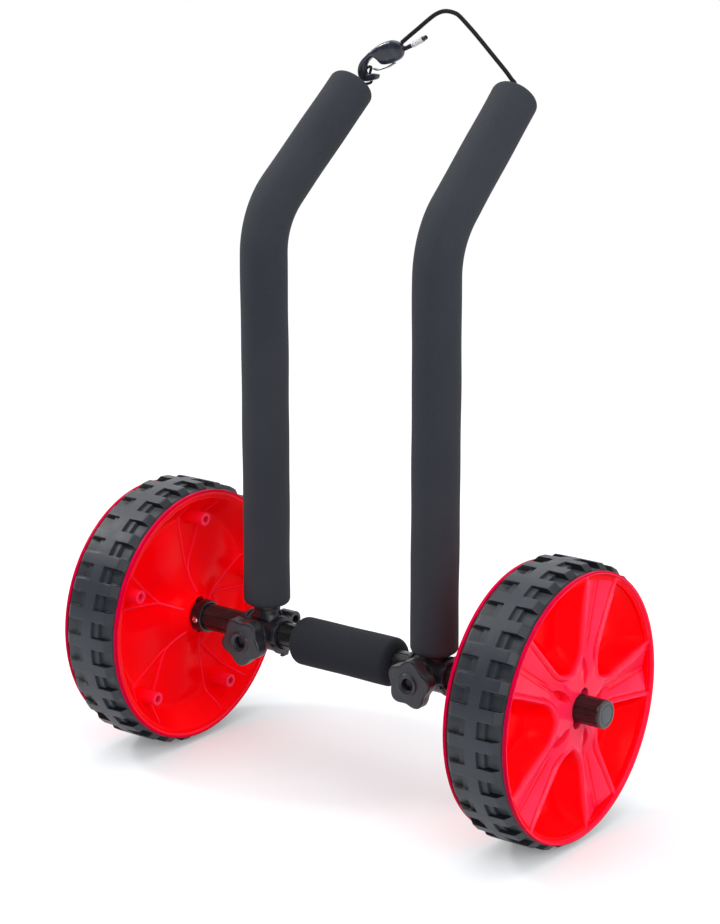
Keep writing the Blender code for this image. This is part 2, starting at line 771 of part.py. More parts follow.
def outer_shell_mesh():
    """Dished face, rim lip, barrel that the tyre sits on, and the hub tube behind the face."""
    mesh = bmesh.new()
    lip_r = RIM_R - LIP_WIDTH
    face_radii = [hub_bore_r(), PETAL_INNER_R * 0.72]
    face_radii += [PETAL_INNER_R + (lip_r - PETAL_INNER_R) * share for share in FACE_SHARES]
    rings = []
    for radius in face_radii:
        angles = sector_angles(radius, spoke_half_width(radius), SPOKE_FOOT)
        rings.append(polar_ring(mesh, radius, angles, lambda angle, r=radius: outer_face_x(r, angle)))
    even = even_angles(8 * SPOKES)
    coarse = even[::2]
    outer_x = WHEEL_WIDTH / 2
    flange_x = outer_x - LIP_THICKNESS
    barrel_end = -outer_x + LIP_THICKNESS + SEAT_GAP
    web_back = outer_x - HUB_DROP - PETAL_DEPTH - SHELL_WALL
    barrel_in_r = BARREL_R - BARREL_WALL
    rings.append(polar_ring(mesh, lip_r + LIP_FLARE, even, outer_x))
    rings.append(polar_ring(mesh, RIM_R, even, outer_x))
    rings.append(polar_ring(mesh, RIM_R, even, flange_x))
    rings.append(polar_ring(mesh, BARREL_R, even, flange_x))
    rings.append(polar_ring(mesh, BARREL_R, even, barrel_end))
    rings.append(polar_ring(mesh, barrel_in_r, even, barrel_end))
    rings.append(polar_ring(mesh, barrel_in_r, coarse, web_back))
    rings.append(polar_ring(mesh, HUB_WALL_R, coarse, web_back))
    rings.append(polar_ring(mesh, HUB_WALL_R, coarse, HUB_JOINT))
    rings.append(polar_ring(mesh, hub_bore_r(), coarse, HUB_JOINT))
    bridge_all(mesh, rings, closed=True)
    return mesh


def slot_cutter(angle):
    """A teardrop pocket at the foot of a spoke, narrow towards the hub."""
    mesh = bmesh.new()
    plane = WHEEL_WIDTH / 2
    middle_r = SLOT_END_R - SLOT_WIDTH
    spots = ((SLOT_START_R, 0), (middle_r, SLOT_WIDTH / 2), (SLOT_END_R, SLOT_WIDTH / 4))
    outline = [Vector((plane, along, across)) for along, across in spots]
    outline += [Vector((plane, along, -across)) for along, across in reversed(spots[1:])]
    turn = Matrix.Rotation(angle, 3, "X")
    face = mesh.faces.new([mesh.verts.new(turn @ point) for point in outline])
    pushed = bmesh.ops.extrude_face_region(mesh, geom=[face])
    moved = [part for part in pushed["geom"] if isinstance(part, bmesh.types.BMVert)]
    bmesh.ops.translate(mesh, verts=moved, vec=(-HUB_DROP - SLOT_DEPTH, 0, 0))
    return mesh


def dish_x(radius, angle):
    """The inner shell's face: a dish with a Y ridge on each spoke line and bulging panels."""
    outer = -WHEEL_WIDTH / 2
    floor = outer + DISH_DEPTH
    half_width = ridge_half_width(radius)
    across = radius * from_spoke(angle)
    share = min(1, max(0, (radius - DISH_INNER_R) / (DISH_OUTER_R - DISH_INNER_R)))
    swell = math.sin(math.pi * share)
    middle = radius * math.pi / SPOKES
    inside = (across - half_width - RIDGE_WIDTH) / (middle - half_width - RIDGE_WIDTH)
    bulge = PANEL_BULGE * swell * eased(inside)
    ridge = RIDGE_HEIGHT if abs(across - half_width) < 0.1 * MM else 0
    return floor - bulge - ridge


def inner_shell_mesh():
    """Dished cover with its own rim lip, a spigot inside the barrel, and a hub wall."""
    mesh = bmesh.new()
    outer = -WHEEL_WIDTH / 2
    hub_face = outer + INNER_HUB_STAND
    hub_in = (hub_bore_r(), HUB_WALL_R - 2 * MM)
    even = even_angles(8 * SPOKES)
    coarse = even[::2]
    rings = []
    for radius, x in ((hub_in[0], hub_face), (hub_in[1], hub_face), (HUB_WALL_R, hub_face + 9 * MM)):
        rings.append(polar_ring(mesh, radius, even, x))
    for radius in (DISH_INNER_R, (DISH_INNER_R + DISH_OUTER_R) / 2, DISH_OUTER_R):
        angles = sector_angles(radius, ridge_half_width(radius), RIDGE_WIDTH)
        rings.append(polar_ring(mesh, radius, angles, lambda angle, r=radius: dish_x(r, angle)))
    lip_r = RIM_R - LIP_WIDTH
    flange_x = outer + LIP_THICKNESS
    spigot_r = (BARREL_R - BARREL_WALL) * math.cos(math.pi / (8 * SPOKES)) - SEAT_GAP
    floor_back = outer + DISH_DEPTH + SHELL_WALL
    rings.append(polar_ring(mesh, lip_r - LIP_THICKNESS, even, outer + LIP_FLARE))
    rings.append(polar_ring(mesh, lip_r, even, outer))
    rings.append(polar_ring(mesh, RIM_R, even, outer))
    rings.append(polar_ring(mesh, RIM_R, even, flange_x))
    rings.append(polar_ring(mesh, spigot_r, even, flange_x))
    rings.append(polar_ring(mesh, spigot_r, coarse, flange_x + RIM_SPIGOT))
    rings.append(polar_ring(mesh, DISH_OUTER_R - SHELL_WALL, coarse, floor_back))
    rings.append(polar_ring(mesh, DISH_INNER_R - 2 * MM, coarse, floor_back))
    rings.append(polar_ring(mesh, HUB_WALL_R, coarse, HUB_JOINT - SEAT_GAP))
    rings.append(polar_ring(mesh, hub_bore_r(), coarse, HUB_JOINT - SEAT_GAP))
    bridge_all(mesh, rings, closed=True)
    return mesh


def post_place(index):
    angle = index * 2 * math.pi / SPOKES
    return (0, POST_CIRCLE_R * math.cos(angle), POST_CIRCLE_R * math.sin(angle))


def build_wheel(name, side, turn, root):
    """One wheel about its own axis: tyre, two shells and the five screws that join them."""
    facing = (0, 0, 0 if side > 0 else math.pi)
    axis = empty(f"wheel_{name}_axis", (side * TRACK / 2, 0, 0), root, facing)
    rim = empty(f"rim_{name}", (0, 0, 0), axis, (turn, 0, 0))
    add(f"tyre_{name}", tyre_mesh(), "tyre", axis)

    outer = add(f"rim_outer_{name}", outer_shell_mesh(), "red_plastic", rim)
    notch_cutters(outer, f"rim_outer_{name}", rim)
    inner = add(f"rim_inner_{name}", inner_shell_mesh(), "red_plastic", rim)
    notch_cutters(inner, f"rim_inner_{name}", rim)

    outer_x = WHEEL_WIDTH / 2
    web_back = outer_x - HUB_DROP - PETAL_DEPTH - SHELL_WALL
    post_floor = -outer_x + DISH_DEPTH - 2 * MM
    head_top = post_floor - SEAT_GAP
    along = (0, math.pi / 2, 0)
    screw = (
        (0, head_top - RIM_SCREW_HEAD),
        (RIM_SCREW_HEAD_R, head_top - RIM_SCREW_HEAD),
        (RIM_SCREW_HEAD_R, head_top),
        (RIM_SCREW_R, head_top),
        (RIM_SCREW_R, head_top + RIM_SCREW_LENGTH),
        (0, head_top + RIM_SCREW_LENGTH),
    )
    hole = (
        (0, -2 * outer_x),
        (POST_BORE_R, -2 * outer_x),
        (POST_BORE_R, post_floor),
        (RIM_SCREW_R + SEAT_GAP, post_floor),
        (RIM_SCREW_R + SEAT_GAP, head_top + RIM_SCREW_LENGTH + 2 * SEAT_GAP),
        (0, head_top + RIM_SCREW_LENGTH + 2 * SEAT_GAP),
    )
    for i in range(SPOKES):
        place = post_place(i)
        label = f"{name}_{i + 1}"
        post = pin_shape(POST_R, -outer_x + 0.6 * MM, web_back - SEAT_GAP, SMALL_SIDES)
        boolean(inner, add(f"post_{label}", post, "red_plastic", rim, place, along), "UNION")
        bore = add(f"post_bore_{label}", turned(hole, SCREW_SIDES), "red_plastic", rim, place, along)
        boolean(inner, bore)
        boolean(outer, bore)
        angle = i * 2 * math.pi / SPOKES
        boolean(outer, add(f"slot_{label}", slot_cutter(angle), "red_plastic", rim))
        add(f"rim_screw_{label}", turned(screw, SCREW_SIDES), "bright_steel", rim, place, along)


# Brackets, knobs and uprights


def upright_station(along):
    """(back, up, lean) of the bent upright at this length from the axle's height."""
    bend_length = UPRIGHT_BEND_R * UPRIGHT_BEND
    in_bend = min(max(along - UPRIGHT_STRAIGHT, 0), bend_length)
    lean = in_bend / UPRIGHT_BEND_R
    back = UPRIGHT_BEND_R * (1 - math.cos(lean))
    up = min(along, UPRIGHT_STRAIGHT) + UPRIGHT_BEND_R * math.sin(lean)
    beyond = max(along - UPRIGHT_STRAIGHT - bend_length, 0)
    return back + beyond * math.sin(lean), up + beyond * math.cos(lean), lean


def upright_length():
    return UPRIGHT_STRAIGHT + UPRIGHT_BEND_R * UPRIGHT_BEND + UPRIGHT_TOP_RUN


def bend_stations(start, end, count):
    """Lengths along the upright: both ends, and the bend in this many steps."""
    bend_length = UPRIGHT_BEND_R * UPRIGHT_BEND
    steps = [UPRIGHT_STRAIGHT + bend_length * i / count for i in range(count + 1)]
    return [start, *steps, end]


def swept_ring(mesh, along, radius, sides):
    back, up, lean = upright_station(along)
    ring = []
    for angle in even_angles(sides):
        across = radius * math.cos(angle)
        out = radius * math.sin(angle)
        ring.append(mesh.verts.new((across, back + out * math.cos(lean), up - out * math.sin(lean))))
    return ring


def swept_tube(outer, inner, sides):
    """A hollow tube along the upright from (length, radius) pairs, outside and then inside."""
    mesh = bmesh.new()
    pairs = outer + inner[::-1]
    rings = [swept_ring(mesh, along, radius, sides) for along, radius in pairs]
    bridge_all(mesh, rings, closed=True)
    return mesh


def foam_stations(start, end):
    outer = []
    for quarter in (0, 0.5, 1):
        angle = quarter * math.pi / 2
        inset = FOAM_ROUNDING * (1 - math.sin(angle))
        outer.append((FOAM_ROUNDING * (1 - math.cos(angle)), FOAM_OD / 2 - inset))
    first = [(start + along, radius) for along, radius in outer]
    last = [(end - along, radius) for along, radius in reversed(outer)]
    bend = [(along, FOAM_OD / 2) for along in bend_stations(start, end, BEND_STEPS)[1:-1]]
    return first + bend + last


def build_upright(name, turn, bracket):
    """The bent tube on the bracket's spigot, its pin, its foam and its top plug."""
    stand = empty(f"upright_{name}_stand", (0, 0, 0), bracket, (0, 0, turn))
    tube_r = UPRIGHT_OD / 2
    foam_end = upright_length()
    tube_start = NECK_TOP + SEAT_GAP
    tube_end = foam_end - FOAM_OVER_TUBE - PLUG_HEAD - SEAT_GAP
    outer = [(along, tube_r) for along in bend_stations(tube_start, tube_end, BEND_STEPS)]
    inner = [(along, UPRIGHT_BORE / 2) for along in bend_stations(tube_start, tube_end, BEND_STEPS)]
    tube = add(f"upright_tube_{name}", swept_tube(outer, inner, ROUND_SIDES), "black_tube", stand)

    bore = [(along, tube_r + SEAT_GAP) for along in bend_stations(FOAM_FOOT, foam_end, BEND_STEPS)]
    foam = swept_tube(foam_stations(FOAM_FOOT, foam_end), bore, ROUND_SIDES)
    add(f"upright_foam_{name}", foam, "foam", stand)

    pin_place = (0, 0, NECK_TOP + PIN_UP)
    outward = (-math.pi / 2, 0, 0)
    pin_tip = tube_r * math.cos(math.pi / ROUND_SIDES) - SEAT_GAP
    hole = pin_shape(PIN_R + SEAT_GAP, pin_tip - PIN_DEPTH - SEAT_GAP, tube_r + PIN_DEPTH, SMALL_SIDES)
    cutter = add(f"pin_hole_{name}", hole, "black_tube", stand, pin_place, outward)
    boolean(tube, cutter)
    boolean(bpy.data.objects[f"bracket_{name}"], cutter)
    pin = pin_shape(PIN_R, pin_tip - PIN_DEPTH, pin_tip, SMALL_SIDES)
    add(f"upright_pin_{name}", pin, "bright_steel", stand, pin_place, outward)

    back, up, lean = upright_station(foam_end - FOAM_OVER_TUBE - PLUG_HEAD)
    plug_r = UPRIGHT_BORE / 2 * math.cos(math.pi / ROUND_SIDES) - SEAT_GAP
    cord_bore_r = (BUNGEE_D / 2 + SEAT_GAP) / math.cos(math.pi / MIDDLE_SIDES)
    bore_r = cord_bore_r if name == "right" else LOOP_PLUG_BORE_R
    plug = (
        (bore_r, -PLUG_LENGTH),
        (plug_r, -PLUG_LENGTH),
        (plug_r, 0),
        (tube_r, 0),
        (tube_r, PLUG_HEAD),
        (bore_r, PLUG_HEAD),
    )
    place = (0, back, up)
    add(f"top_plug_{name}", turned(plug, MIDDLE_SIDES), "black_satin", stand, place, (-lean, 0, 0))
    knot = (
        (0, -KNOT_R),
        (KNOT_R * 0.7, -KNOT_R * 0.7),
        (KNOT_R, 0),
        (KNOT_R * 0.7, KNOT_R * 0.7),
        (0, KNOT_R),
    )
    drop = PLUG_LENGTH + KNOT_R + SEAT_GAP
    place = (0, back - drop * math.sin(lean), up - drop * math.cos(lean))
    add(f"cord_knot_{name}", turned(knot, SMALL_SIDES), "cord", stand, place, (-lean, 0, 0))


def bracket_barrel():
    bore_r = AXLE_OD / 2 + SEAT_GAP
    half = BRACKET_LENGTH / 2
    side = [
        (bore_r, -half),
        (BRACKET_FLANGE_R - JOIN, -half),
        (BRACKET_FLANGE_R, -half + JOIN),
        (BRACKET_FLANGE_R, -half + BRACKET_FLANGE),
        (BRACKET_R, -half + BRACKET_FLANGE),
    ]
    return turned(side + [(radius, -height) for radius, height in reversed(side)], ROUND_SIDES)


def flange_notches():
    """Round pins along X that scallop the rims of both flanges."""
    mesh = bmesh.new()
    place = BRACKET_FLANGE_R + FLANGE_NOTCH_R / 3
    for i in range(FLANGE_NOTCHES):
        angle = (i + 0.25) * 2 * math.pi / FLANGE_NOTCHES
        rings = []
        for end in (-1, 1):
            ring = polar_ring(mesh, FLANGE_NOTCH_R, even_angles(SCREW_SIDES), end * BRACKET_LENGTH)
            for point in ring:
                point.co += Vector((0, place * math.cos(angle), place * math.sin(angle)))
            rings.append(ring)
        bridge(mesh, *rings)
        mesh.faces.new(rings[0])
        mesh.faces.new(rings[1])
    return mesh


def build_bracket(name, side, bracket_x, knob_turn, root):
    """The T bracket with its neck and spigot, knob boss, ear and toe, and what it carries."""
    axis = empty(f"bracket_{name}_axis", (bracket_x, 0, 0), root)
    body = add(f"bracket_{name}", bracket_barrel(), "dark_plastic", axis, rotation=(0, math.pi / 2, 0))
    bore_r = AXLE_OD / 2 + SEAT_GAP
    inner_end = -side * BRACKET_LENGTH / 2

    neck = (
        (0, bore_r + JOIN),
        (NECK_R, bore_r + JOIN),
        (NECK_R, NECK_TOP),
        (SPIGOT_R, NECK_TOP),
        (SPIGOT_R, NECK_TOP + SPIGOT_LENGTH - JOIN),
        (SPIGOT_R - JOIN, NECK_TOP + SPIGOT_LENGTH),
        (0, NECK_TOP + SPIGOT_LENGTH),
    )
    here = (0, 0, 0)
    forward = (math.pi / 2, 0, 0)
    along = (0, math.pi / 2, 0)
    inwards = (0, side * math.pi / 2, 0)
    ear_place = (inner_end, EAR_BACK, EAR_UP)
    toe_place = (inner_end + side * BRACKET_FLANGE / 2, 0, -TOE_DROP / 2)
    joined = {
        "neck": (turned(neck, ROUND_SIDES), here, here),
        "boss": (pin_shape(BOSS_R, bore_r + JOIN, BOSS_FRONT, ROUND_SIDES), here, forward),
        "ear": (pin_shape(EAR_R, 0, EAR_LENGTH, MIDDLE_SIDES), ear_place, inwards),
        "toe": (block((BRACKET_FLANGE, TOE_WIDTH, TOE_DROP), toe_place), here, here),
    }
    clear_bore = pin_shape(bore_r, -BRACKET_LENGTH, BRACKET_LENGTH, ROUND_SIDES)
    ear_bore = pin_shape(EAR_BORE_R, -JOIN, EAR_BORE_DEPTH, SMALL_SIDES + 2)
    bores = {
        "clear_bore": (clear_bore, here, along),
        "boss_bore": (pin_shape(BOSS_BORE_R, 0, KNOB_BACK, MIDDLE_SIDES), here, forward),
        "ear_bore": (ear_bore, ear_place, inwards),
    }
    boolean(body, add(f"notches_{name}", flange_notches(), "dark_plastic", axis))
    for label, (mesh, place, rotation) in joined.items():
        boolean(body, add(f"{label}_{name}", mesh, "dark_plastic", axis, place, rotation), "UNION")
    for label, (mesh, place, rotation) in bores.items():
        boolean(body, add(f"{label}_{name}", mesh, "dark_plastic", axis, place, rotation))
    floor_r = AXLE_OD / 2 - FLUTE_DEPTH + SEAT_GAP
    for i in range(2):
        angle = (1.5 + i * FLUTES / 2) * 2 * math.pi / FLUTES
        size = (BRACKET_LENGTH - 2 * JOIN, KEY_DEPTH, KEY_WIDTH)
        key = block(size, (0, floor_r + KEY_DEPTH / 2, 0))
        bmesh.ops.rotate(key, verts=key.verts, matrix=Matrix.Rotation(angle, 3, "X"))
        boolean(body, add(f"key_{name}_{i}", key, "dark_plastic", axis), "UNION")

    insert_r = BOSS_BORE_R * math.cos(math.pi / MIDDLE_SIDES) - SEAT_GAP
    insert = (
        (STUD_R + SEAT_GAP, BOSS_FRONT - INSERT_LENGTH),
        (insert_r, BOSS_FRONT - INSERT_LENGTH),
        (insert_r, BOSS_FRONT),
        (STUD_R + SEAT_GAP, BOSS_FRONT),
    )
    add(f"knob_insert_{name}", turned(insert, MIDDLE_SIDES), "brass", axis, rotation=forward)

    pad_front = AXLE_OD / 2 + SEAT_GAP
    clamp = empty(f"clamp_{name}_axis", here, axis)
    pad_r = BOSS_BORE_R - 2 * SEAT_GAP
    pad = pin_shape(pad_r, pad_front, pad_front + PAD_THICKNESS, MIDDLE_SIDES)
    add(f"clamp_pad_{name}", pad, "black_satin", clamp, rotation=forward)
    build_knob(name, knob_turn, pad_front + PAD_THICKNESS + SEAT_GAP, clamp)
    build_upright(name, side * UPRIGHT_TURN_IN, axis)
    return axis


def knob_outline(mesh, height, inset):
    """One ring of the star: five round lobes with shallow valleys between them."""
    middle = (KNOB_TIP_R + KNOB_VALLEY_R) / 2
    swing = (KNOB_TIP_R - KNOB_VALLEY_R) / 2
    ring = []
    for angle in even_angles(KNOB_LOBES * KNOB_STEPS):
        radius = middle + swing * math.cos(KNOB_LOBES * angle) - inset
        ring.append(mesh.verts.new((radius * math.cos(angle), radius * math.sin(angle), height)))
    return ring


def build_knob(name, turn, stud_start, clamp):
    """The star with its raised ring and hole in front, and the threaded stud behind."""
    forward = (math.pi / 2, 0, 0)
    axis = empty(f"knob_{name}_axis", (0, 0, 0), clamp, (0, -turn, 0))
    front = KNOB_BACK + KNOB_THICKNESS
    mesh = bmesh.new()
    levels = ((KNOB_BACK, KNOB_EDGE), (KNOB_BACK + KNOB_EDGE, 0))
    levels += ((front - KNOB_EDGE, 0), (front, KNOB_EDGE))
    rings = [knob_outline(mesh, height, inset) for height, inset in levels]
    bridge_all(mesh, rings, closed=False)
    mesh.faces.new(rings[0])
    mesh.faces.new(rings[-1])
    knob = add(f"knob_{name}", mesh, "dark_plastic", axis, rotation=forward)
    stud = pin_shape(STUD_R, stud_start, KNOB_BACK + JOIN, SMALL_SIDES + 2)
    ring = pin_shape(KNOB_RING_R, front - JOIN, front + KNOB_RING, ROUND_SIDES)
    hole_floor = front + KNOB_RING - KNOB_HOLE_DEPTH
    hole = pin_shape(KNOB_HOLE_R, hole_floor, front + KNOB_HOLE_DEPTH, MIDDLE_SIDES)
    boolean(knob, add(f"knob_stud_{name}", stud, "bright_steel", axis, rotation=forward), "UNION")
    boolean(knob, add(f"knob_ring_{name}", ring, "dark_plastic", axis, rotation=forward), "UNION")
    boolean(knob, add(f"knob_hole_{name}", hole, "dark_plastic", axis, rotation=forward))


# Cords and hook


def cord_place(point, back=0.0):
    """A point of the cord plane, from (x, z) in millimetres, as the root frame sees it."""
    return Vector((point[0] * MM, CORD_PLANE_Y + back, point[1] * MM))


def plug_mouth(name, side, bracket_x, out):
    """A point on the axis of an upright's plug, this far out of its head, and the axis."""
    back, up, lean = upright_station(upright_length() - FOAM_OVER_TUBE)
    turn = Matrix.Rotation(side * UPRIGHT_TURN_IN, 3, "Z")
    axis = turn @ Vector((0, math.sin(lean), math.cos(lean)))
    return Vector((bracket_x, 0, 0)) + turn @ Vector((0, back, up)) + axis * out, axis


def build_bungee(root):
    """The stretch from the hook over to the plug of the right upright."""
    start, axis = plug_mouth("right", 1, RIGHT_BRACKET_X, SEAT_GAP - PLUG_HEAD - PLUG_LENGTH)
    leave = start + axis * (PLUG_HEAD + PLUG_LENGTH + CORD_LEAVE)
    route = [cord_place(point) for point in BUNGEE_ROUTE]
    route += [leave, start + axis * (PLUG_HEAD + PLUG_LENGTH), start]
    cord("bungee_cord", smooth_points(route, 2.4 * BUNGEE_D), BUNGEE_D, root)


def build_tail(left_axis):
    shift = Vector((-LEFT_BRACKET_X, 0, 0))
    tail = [cord_place(point) + shift for point in TAIL_ROUTE]
    cord("bungee_tail", smooth_points(tail, 2 * BUNGEE_D), BUNGEE_D, left_axis)
    run = (tail[-1] - tail[-2]).normalized()
    turn = run.to_track_quat("Z", "X").to_euler()
    bore_r = BUNGEE_D / 2 + SEAT_GAP
    sleeve = (
        (bore_r, 0),
        (bore_r + END_SLEEVE_WALL, 0),
        (bore_r + END_SLEEVE_WALL, END_SLEEVE_LENGTH),
        (bore_r, END_SLEEVE_LENGTH),
    )
    start = tail[-1] - run * END_SLEEVE_LAP
    add("end_sleeve", turned(sleeve, SMALL_SIDES + 2), "clear_sleeve", left_axis, start, turn)
    tip_end = END_SLEEVE_LENGTH + TIP_LENGTH
    tip = (
        (0, END_SLEEVE_LAP + SEAT_GAP),
        (BUNGEE_D / 2, END_SLEEVE_LAP + SEAT_GAP),
        (BUNGEE_D / 2, tip_end - TIP_BEVEL),
        (BUNGEE_D / 2 - TIP_BEVEL, tip_end),
        (0, tip_end),
    )
    add("cord_tip", turned(tip, SMALL_SIDES), "black_satin", left_axis, start, turn)


def build_anchor_loop(left_axis):
    """Thin cord from the left plug, in front of the hook's bar, through the C and down behind."""
    gap = LOOP_CORD_D / 2 + SEAT_GAP
    foot, axis = plug_mouth("left", -1, 0, SEAT_GAP - PLUG_HEAD - PLUG_LENGTH)
    head = foot + axis * (PLUG_HEAD + PLUG_LENGTH)
    bar = cord_place(HOOK_BAR) - Vector((LEFT_BRACKET_X, 0, 0))
    aside = HOOK_THICKNESS / 2 + LOOP_CORD_D / 2 + LOOP_CLEAR
    top = bar + Vector((3.4 * MM, 0, 9.6 * MM))
    over = Vector((-gap, 0, 0))
    back = Vector((0, aside, 0))
    out = axis * 3 * MM
    below = Vector((0, 0, -5 * MM))
    above = Vector((0, 0, 2 * MM))
    lean = Vector((1 * MM, 0, 0))
    route = [foot + over, head + over, head + over + out, bar - back + below - lean]
    route += [bar - back + above, top - back * 0.55, top + back * 0.55]
    route += [bar + back + above, bar + back + below + lean]
    route += [head - over + out, head - over, foot - over]
    cord("anchor_loop", smooth_points(route, 2.6 * LOOP_CORD_D), LOOP_CORD_D, left_axis)


def build_hook(left_axis):
    """The hook plate from its outline, swelling towards the cord end, and the sprung gate."""
    shift = Vector((-LEFT_BRACKET_X, 0, 0))
    outline = [cord_place(point) + shift for point in HOOK_OUTLINE]
    closed = smooth_points([*outline, outline[0]], HOOK_STEP)[:-1]
    mesh = bmesh.new()
    back = Vector((0, HOOK_THICKNESS, 0))
    face = mesh.faces.new([mesh.verts.new(point - back / 2) for point in closed])
    pushed = bmesh.ops.extrude_face_region(mesh, geom=[face])
    moved = [part for part in pushed["geom"] if isinstance(part, bmesh.types.BMVert)]
    bmesh.ops.translate(mesh, verts=moved, vec=back)
    hook = add("hook_body", mesh, "dark_plastic", left_axis)
    bevel(hook, HOOK_EDGE, 1, 60 * DEGREE)

    pivot = cord_place(GATE_ROUTE[0]) + shift
    axis = empty("hook_gate_axis", pivot, left_axis)
    path = []
    for point in GATE_ROUTE:
        place = cord_place(point) + shift - pivot
        path.append(Vector((place.x, place.z)))
    add("hook_gate", strip(path, GATE_THICKNESS, GATE_WIDTH), "dark_plastic", axis)


def main():
    clear_scene()
    root = empty("cart", AXLE)
    build_axle(root)
    build_end_caps(root)
    build_collars(root)
    build_centre_sleeve(root)
    build_snap_buttons(root)
    build_wheel("left", -1, LEFT_WHEEL_TURN, root)
    build_wheel("right", 1, RIGHT_WHEEL_TURN, root)
    left_axis = build_bracket("left", -1, LEFT_BRACKET_X, LEFT_KNOB_TURN, root)
    build_bracket("right", 1, RIGHT_BRACKET_X, RIGHT_KNOB_TURN, root)
    build_bungee(root)
    build_tail(left_axis)
    build_anchor_loop(left_axis)
    build_hook(left_axis)


main()
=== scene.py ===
"""Looks of a two-wheeled paddleboard cart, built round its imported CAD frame.

The wheels, tyres, foam, moulded brackets, knobs, cords and hook are surfaces worked out with
numpy, in metres and in the frame's own axes: X along the axle, -Y towards the star knobs and +Z
up. Each one stands for the CAD node that it is named after.
"""

import logging
import math
from collections.abc import Sequence
from dataclasses import dataclass
from enum import Enum

import bmesh
import bpy
import numpy as np
from mathutils import Matrix, Vector


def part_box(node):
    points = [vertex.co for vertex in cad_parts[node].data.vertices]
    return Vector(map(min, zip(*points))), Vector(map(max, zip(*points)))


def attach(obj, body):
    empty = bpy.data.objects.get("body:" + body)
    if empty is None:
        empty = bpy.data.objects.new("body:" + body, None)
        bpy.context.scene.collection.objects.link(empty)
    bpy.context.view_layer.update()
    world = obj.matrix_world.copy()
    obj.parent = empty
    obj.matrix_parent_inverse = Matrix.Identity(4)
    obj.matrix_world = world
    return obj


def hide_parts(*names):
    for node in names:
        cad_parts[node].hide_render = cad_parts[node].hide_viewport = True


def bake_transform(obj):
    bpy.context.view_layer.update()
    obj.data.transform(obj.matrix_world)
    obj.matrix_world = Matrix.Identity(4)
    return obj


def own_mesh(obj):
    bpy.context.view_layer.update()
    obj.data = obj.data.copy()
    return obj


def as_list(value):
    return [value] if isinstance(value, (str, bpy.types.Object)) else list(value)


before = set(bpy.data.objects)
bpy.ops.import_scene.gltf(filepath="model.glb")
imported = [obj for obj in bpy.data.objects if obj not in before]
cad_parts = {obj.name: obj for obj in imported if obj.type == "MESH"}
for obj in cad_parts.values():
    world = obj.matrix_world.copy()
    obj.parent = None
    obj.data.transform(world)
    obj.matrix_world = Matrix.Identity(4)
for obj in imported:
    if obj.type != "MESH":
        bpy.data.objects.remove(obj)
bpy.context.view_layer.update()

log = logging.getLogger("cart")

Array = np.ndarray
Colour = tuple[float, float, float]

MM = 0.001
DEGREE = math.pi / 180
WELD = 1e-6

# The middle of the axle, and the sizes that several sub-assemblies share
AXLE = np.mean([tuple(corner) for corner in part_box("axle_tube")], axis=0)
SEAT_GAP = 0.3 * MM
CUT_REACH = 30 * MM
AXLE_R = 12.7 * MM
TRACK = 430 * MM
WHEEL_WIDTH = 64 * MM
WHEEL_OUTSIDE = TRACK / 2 + WHEEL_WIDTH / 2
WHEEL_INSIDE = TRACK / 2 - WHEEL_WIDTH / 2
CAP_HEAD = 3 * MM
CAP_SEAT = WHEEL_OUTSIDE + 24 * MM - CAP_HEAD


class Side(Enum):
    """The two ends of the axle, by the sign of their X."""

    LEFT = -1
    RIGHT = 1

    @property
    def label(self) -> str:
        """The side's word in node and body names."""
        return self.name.lower()

    @property
    def bracket(self) -> Array:
        """Axes where the side's bracket sits on the axle."""
        return AT_AXLE @ shifted((-101 if self is Side.LEFT else 90) * MM)

    @property
    def wheel_turn(self) -> float:
        """How far the rim is turned on the axle in the photographed pose."""
        return (24.9 if self is Side.LEFT else 2.0) * DEGREE

    @property
    def knob_turn(self) -> float:
        """How far the star knob is turned in the photographed pose."""
        return (52 if self is Side.LEFT else 9) * DEGREE

    @property
    def outwards(self) -> Array:
        """A turn that carries +Z away from the axle's middle."""
        return TO_PLUS_X if self is Side.RIGHT else TO_MINUS_X

    @property
    def inwards(self) -> Array:
        """A turn that carries +Z towards the axle's middle."""
        return TO_MINUS_X if self is Side.RIGHT else TO_PLUS_X

    def out(self, x: float) -> Array:
        """Axes on the axle, this far out from its middle."""
        return AT_AXLE @ shifted(self.value * x)


# Placing and profiles


def shifted(x: float = 0.0, y: float = 0.0, z: float = 0.0) -> Array:
    """A 4x4 matrix that moves by x, y and z."""
    return np.array(Matrix.Translation((x, y, z)))


def turned(angle: float, axis: str) -> Array:
    """A 4x4 matrix that turns by an angle about X, Y or Z."""
    return np.array(Matrix.Rotation(angle, 4, axis))


TO_PLUS_X = turned(math.pi / 2, "Y")
TO_MINUS_X = turned(-math.pi / 2, "Y")
TO_FRONT = turned(math.pi / 2, "X")
TO_BACK = turned(-math.pi / 2, "X")
AT_AXLE = shifted(*AXLE)


def rounded(profile: Sequence, radius: float | Array, steps: int = 4, closed: bool = False) -> Array:
    """Rounds the corners of a flat profile.

    The corner p turns into (1-t)^2 a + 2t(1-t) p + t^2 b, where a and b lie on its two sides, a
    radius away, or halfway to the next corner where that is nearer.

    Args:
        profile: Corner points, two numbers each.
        radius: Rounding of every corner, or one for each corner.
        steps: Steps along each rounding.
        closed: Whether the last corner joins the first.

    Returns:
        The points of the rounded profile.
    """
    corner = np.asarray(profile, float)
    before = np.roll(corner, 1, axis=0) - corner
    after = np.roll(corner, -1, axis=0) - corner
    lengths = [np.maximum(np.linalg.norm(side, axis=1), 1e-9) for side in (before, after)]
    cut = np.minimum(radius, np.minimum(*lengths) / 2)
    if not closed:
        cut[[0, -1]] = 0
    start = corner + before * (cut / lengths[0])[:, None]
    end = corner + after * (cut / lengths[1])[:, None]
    t = np.linspace(0, 1, steps + 1)[None, :, None]
    curve = (1 - t) ** 2 * start[:, None] + 2 * t * (1 - t) * corner[:, None] + t**2 * end[:, None]
    points = curve.reshape(-1, 2)
    return points if closed else points[steps:-steps]


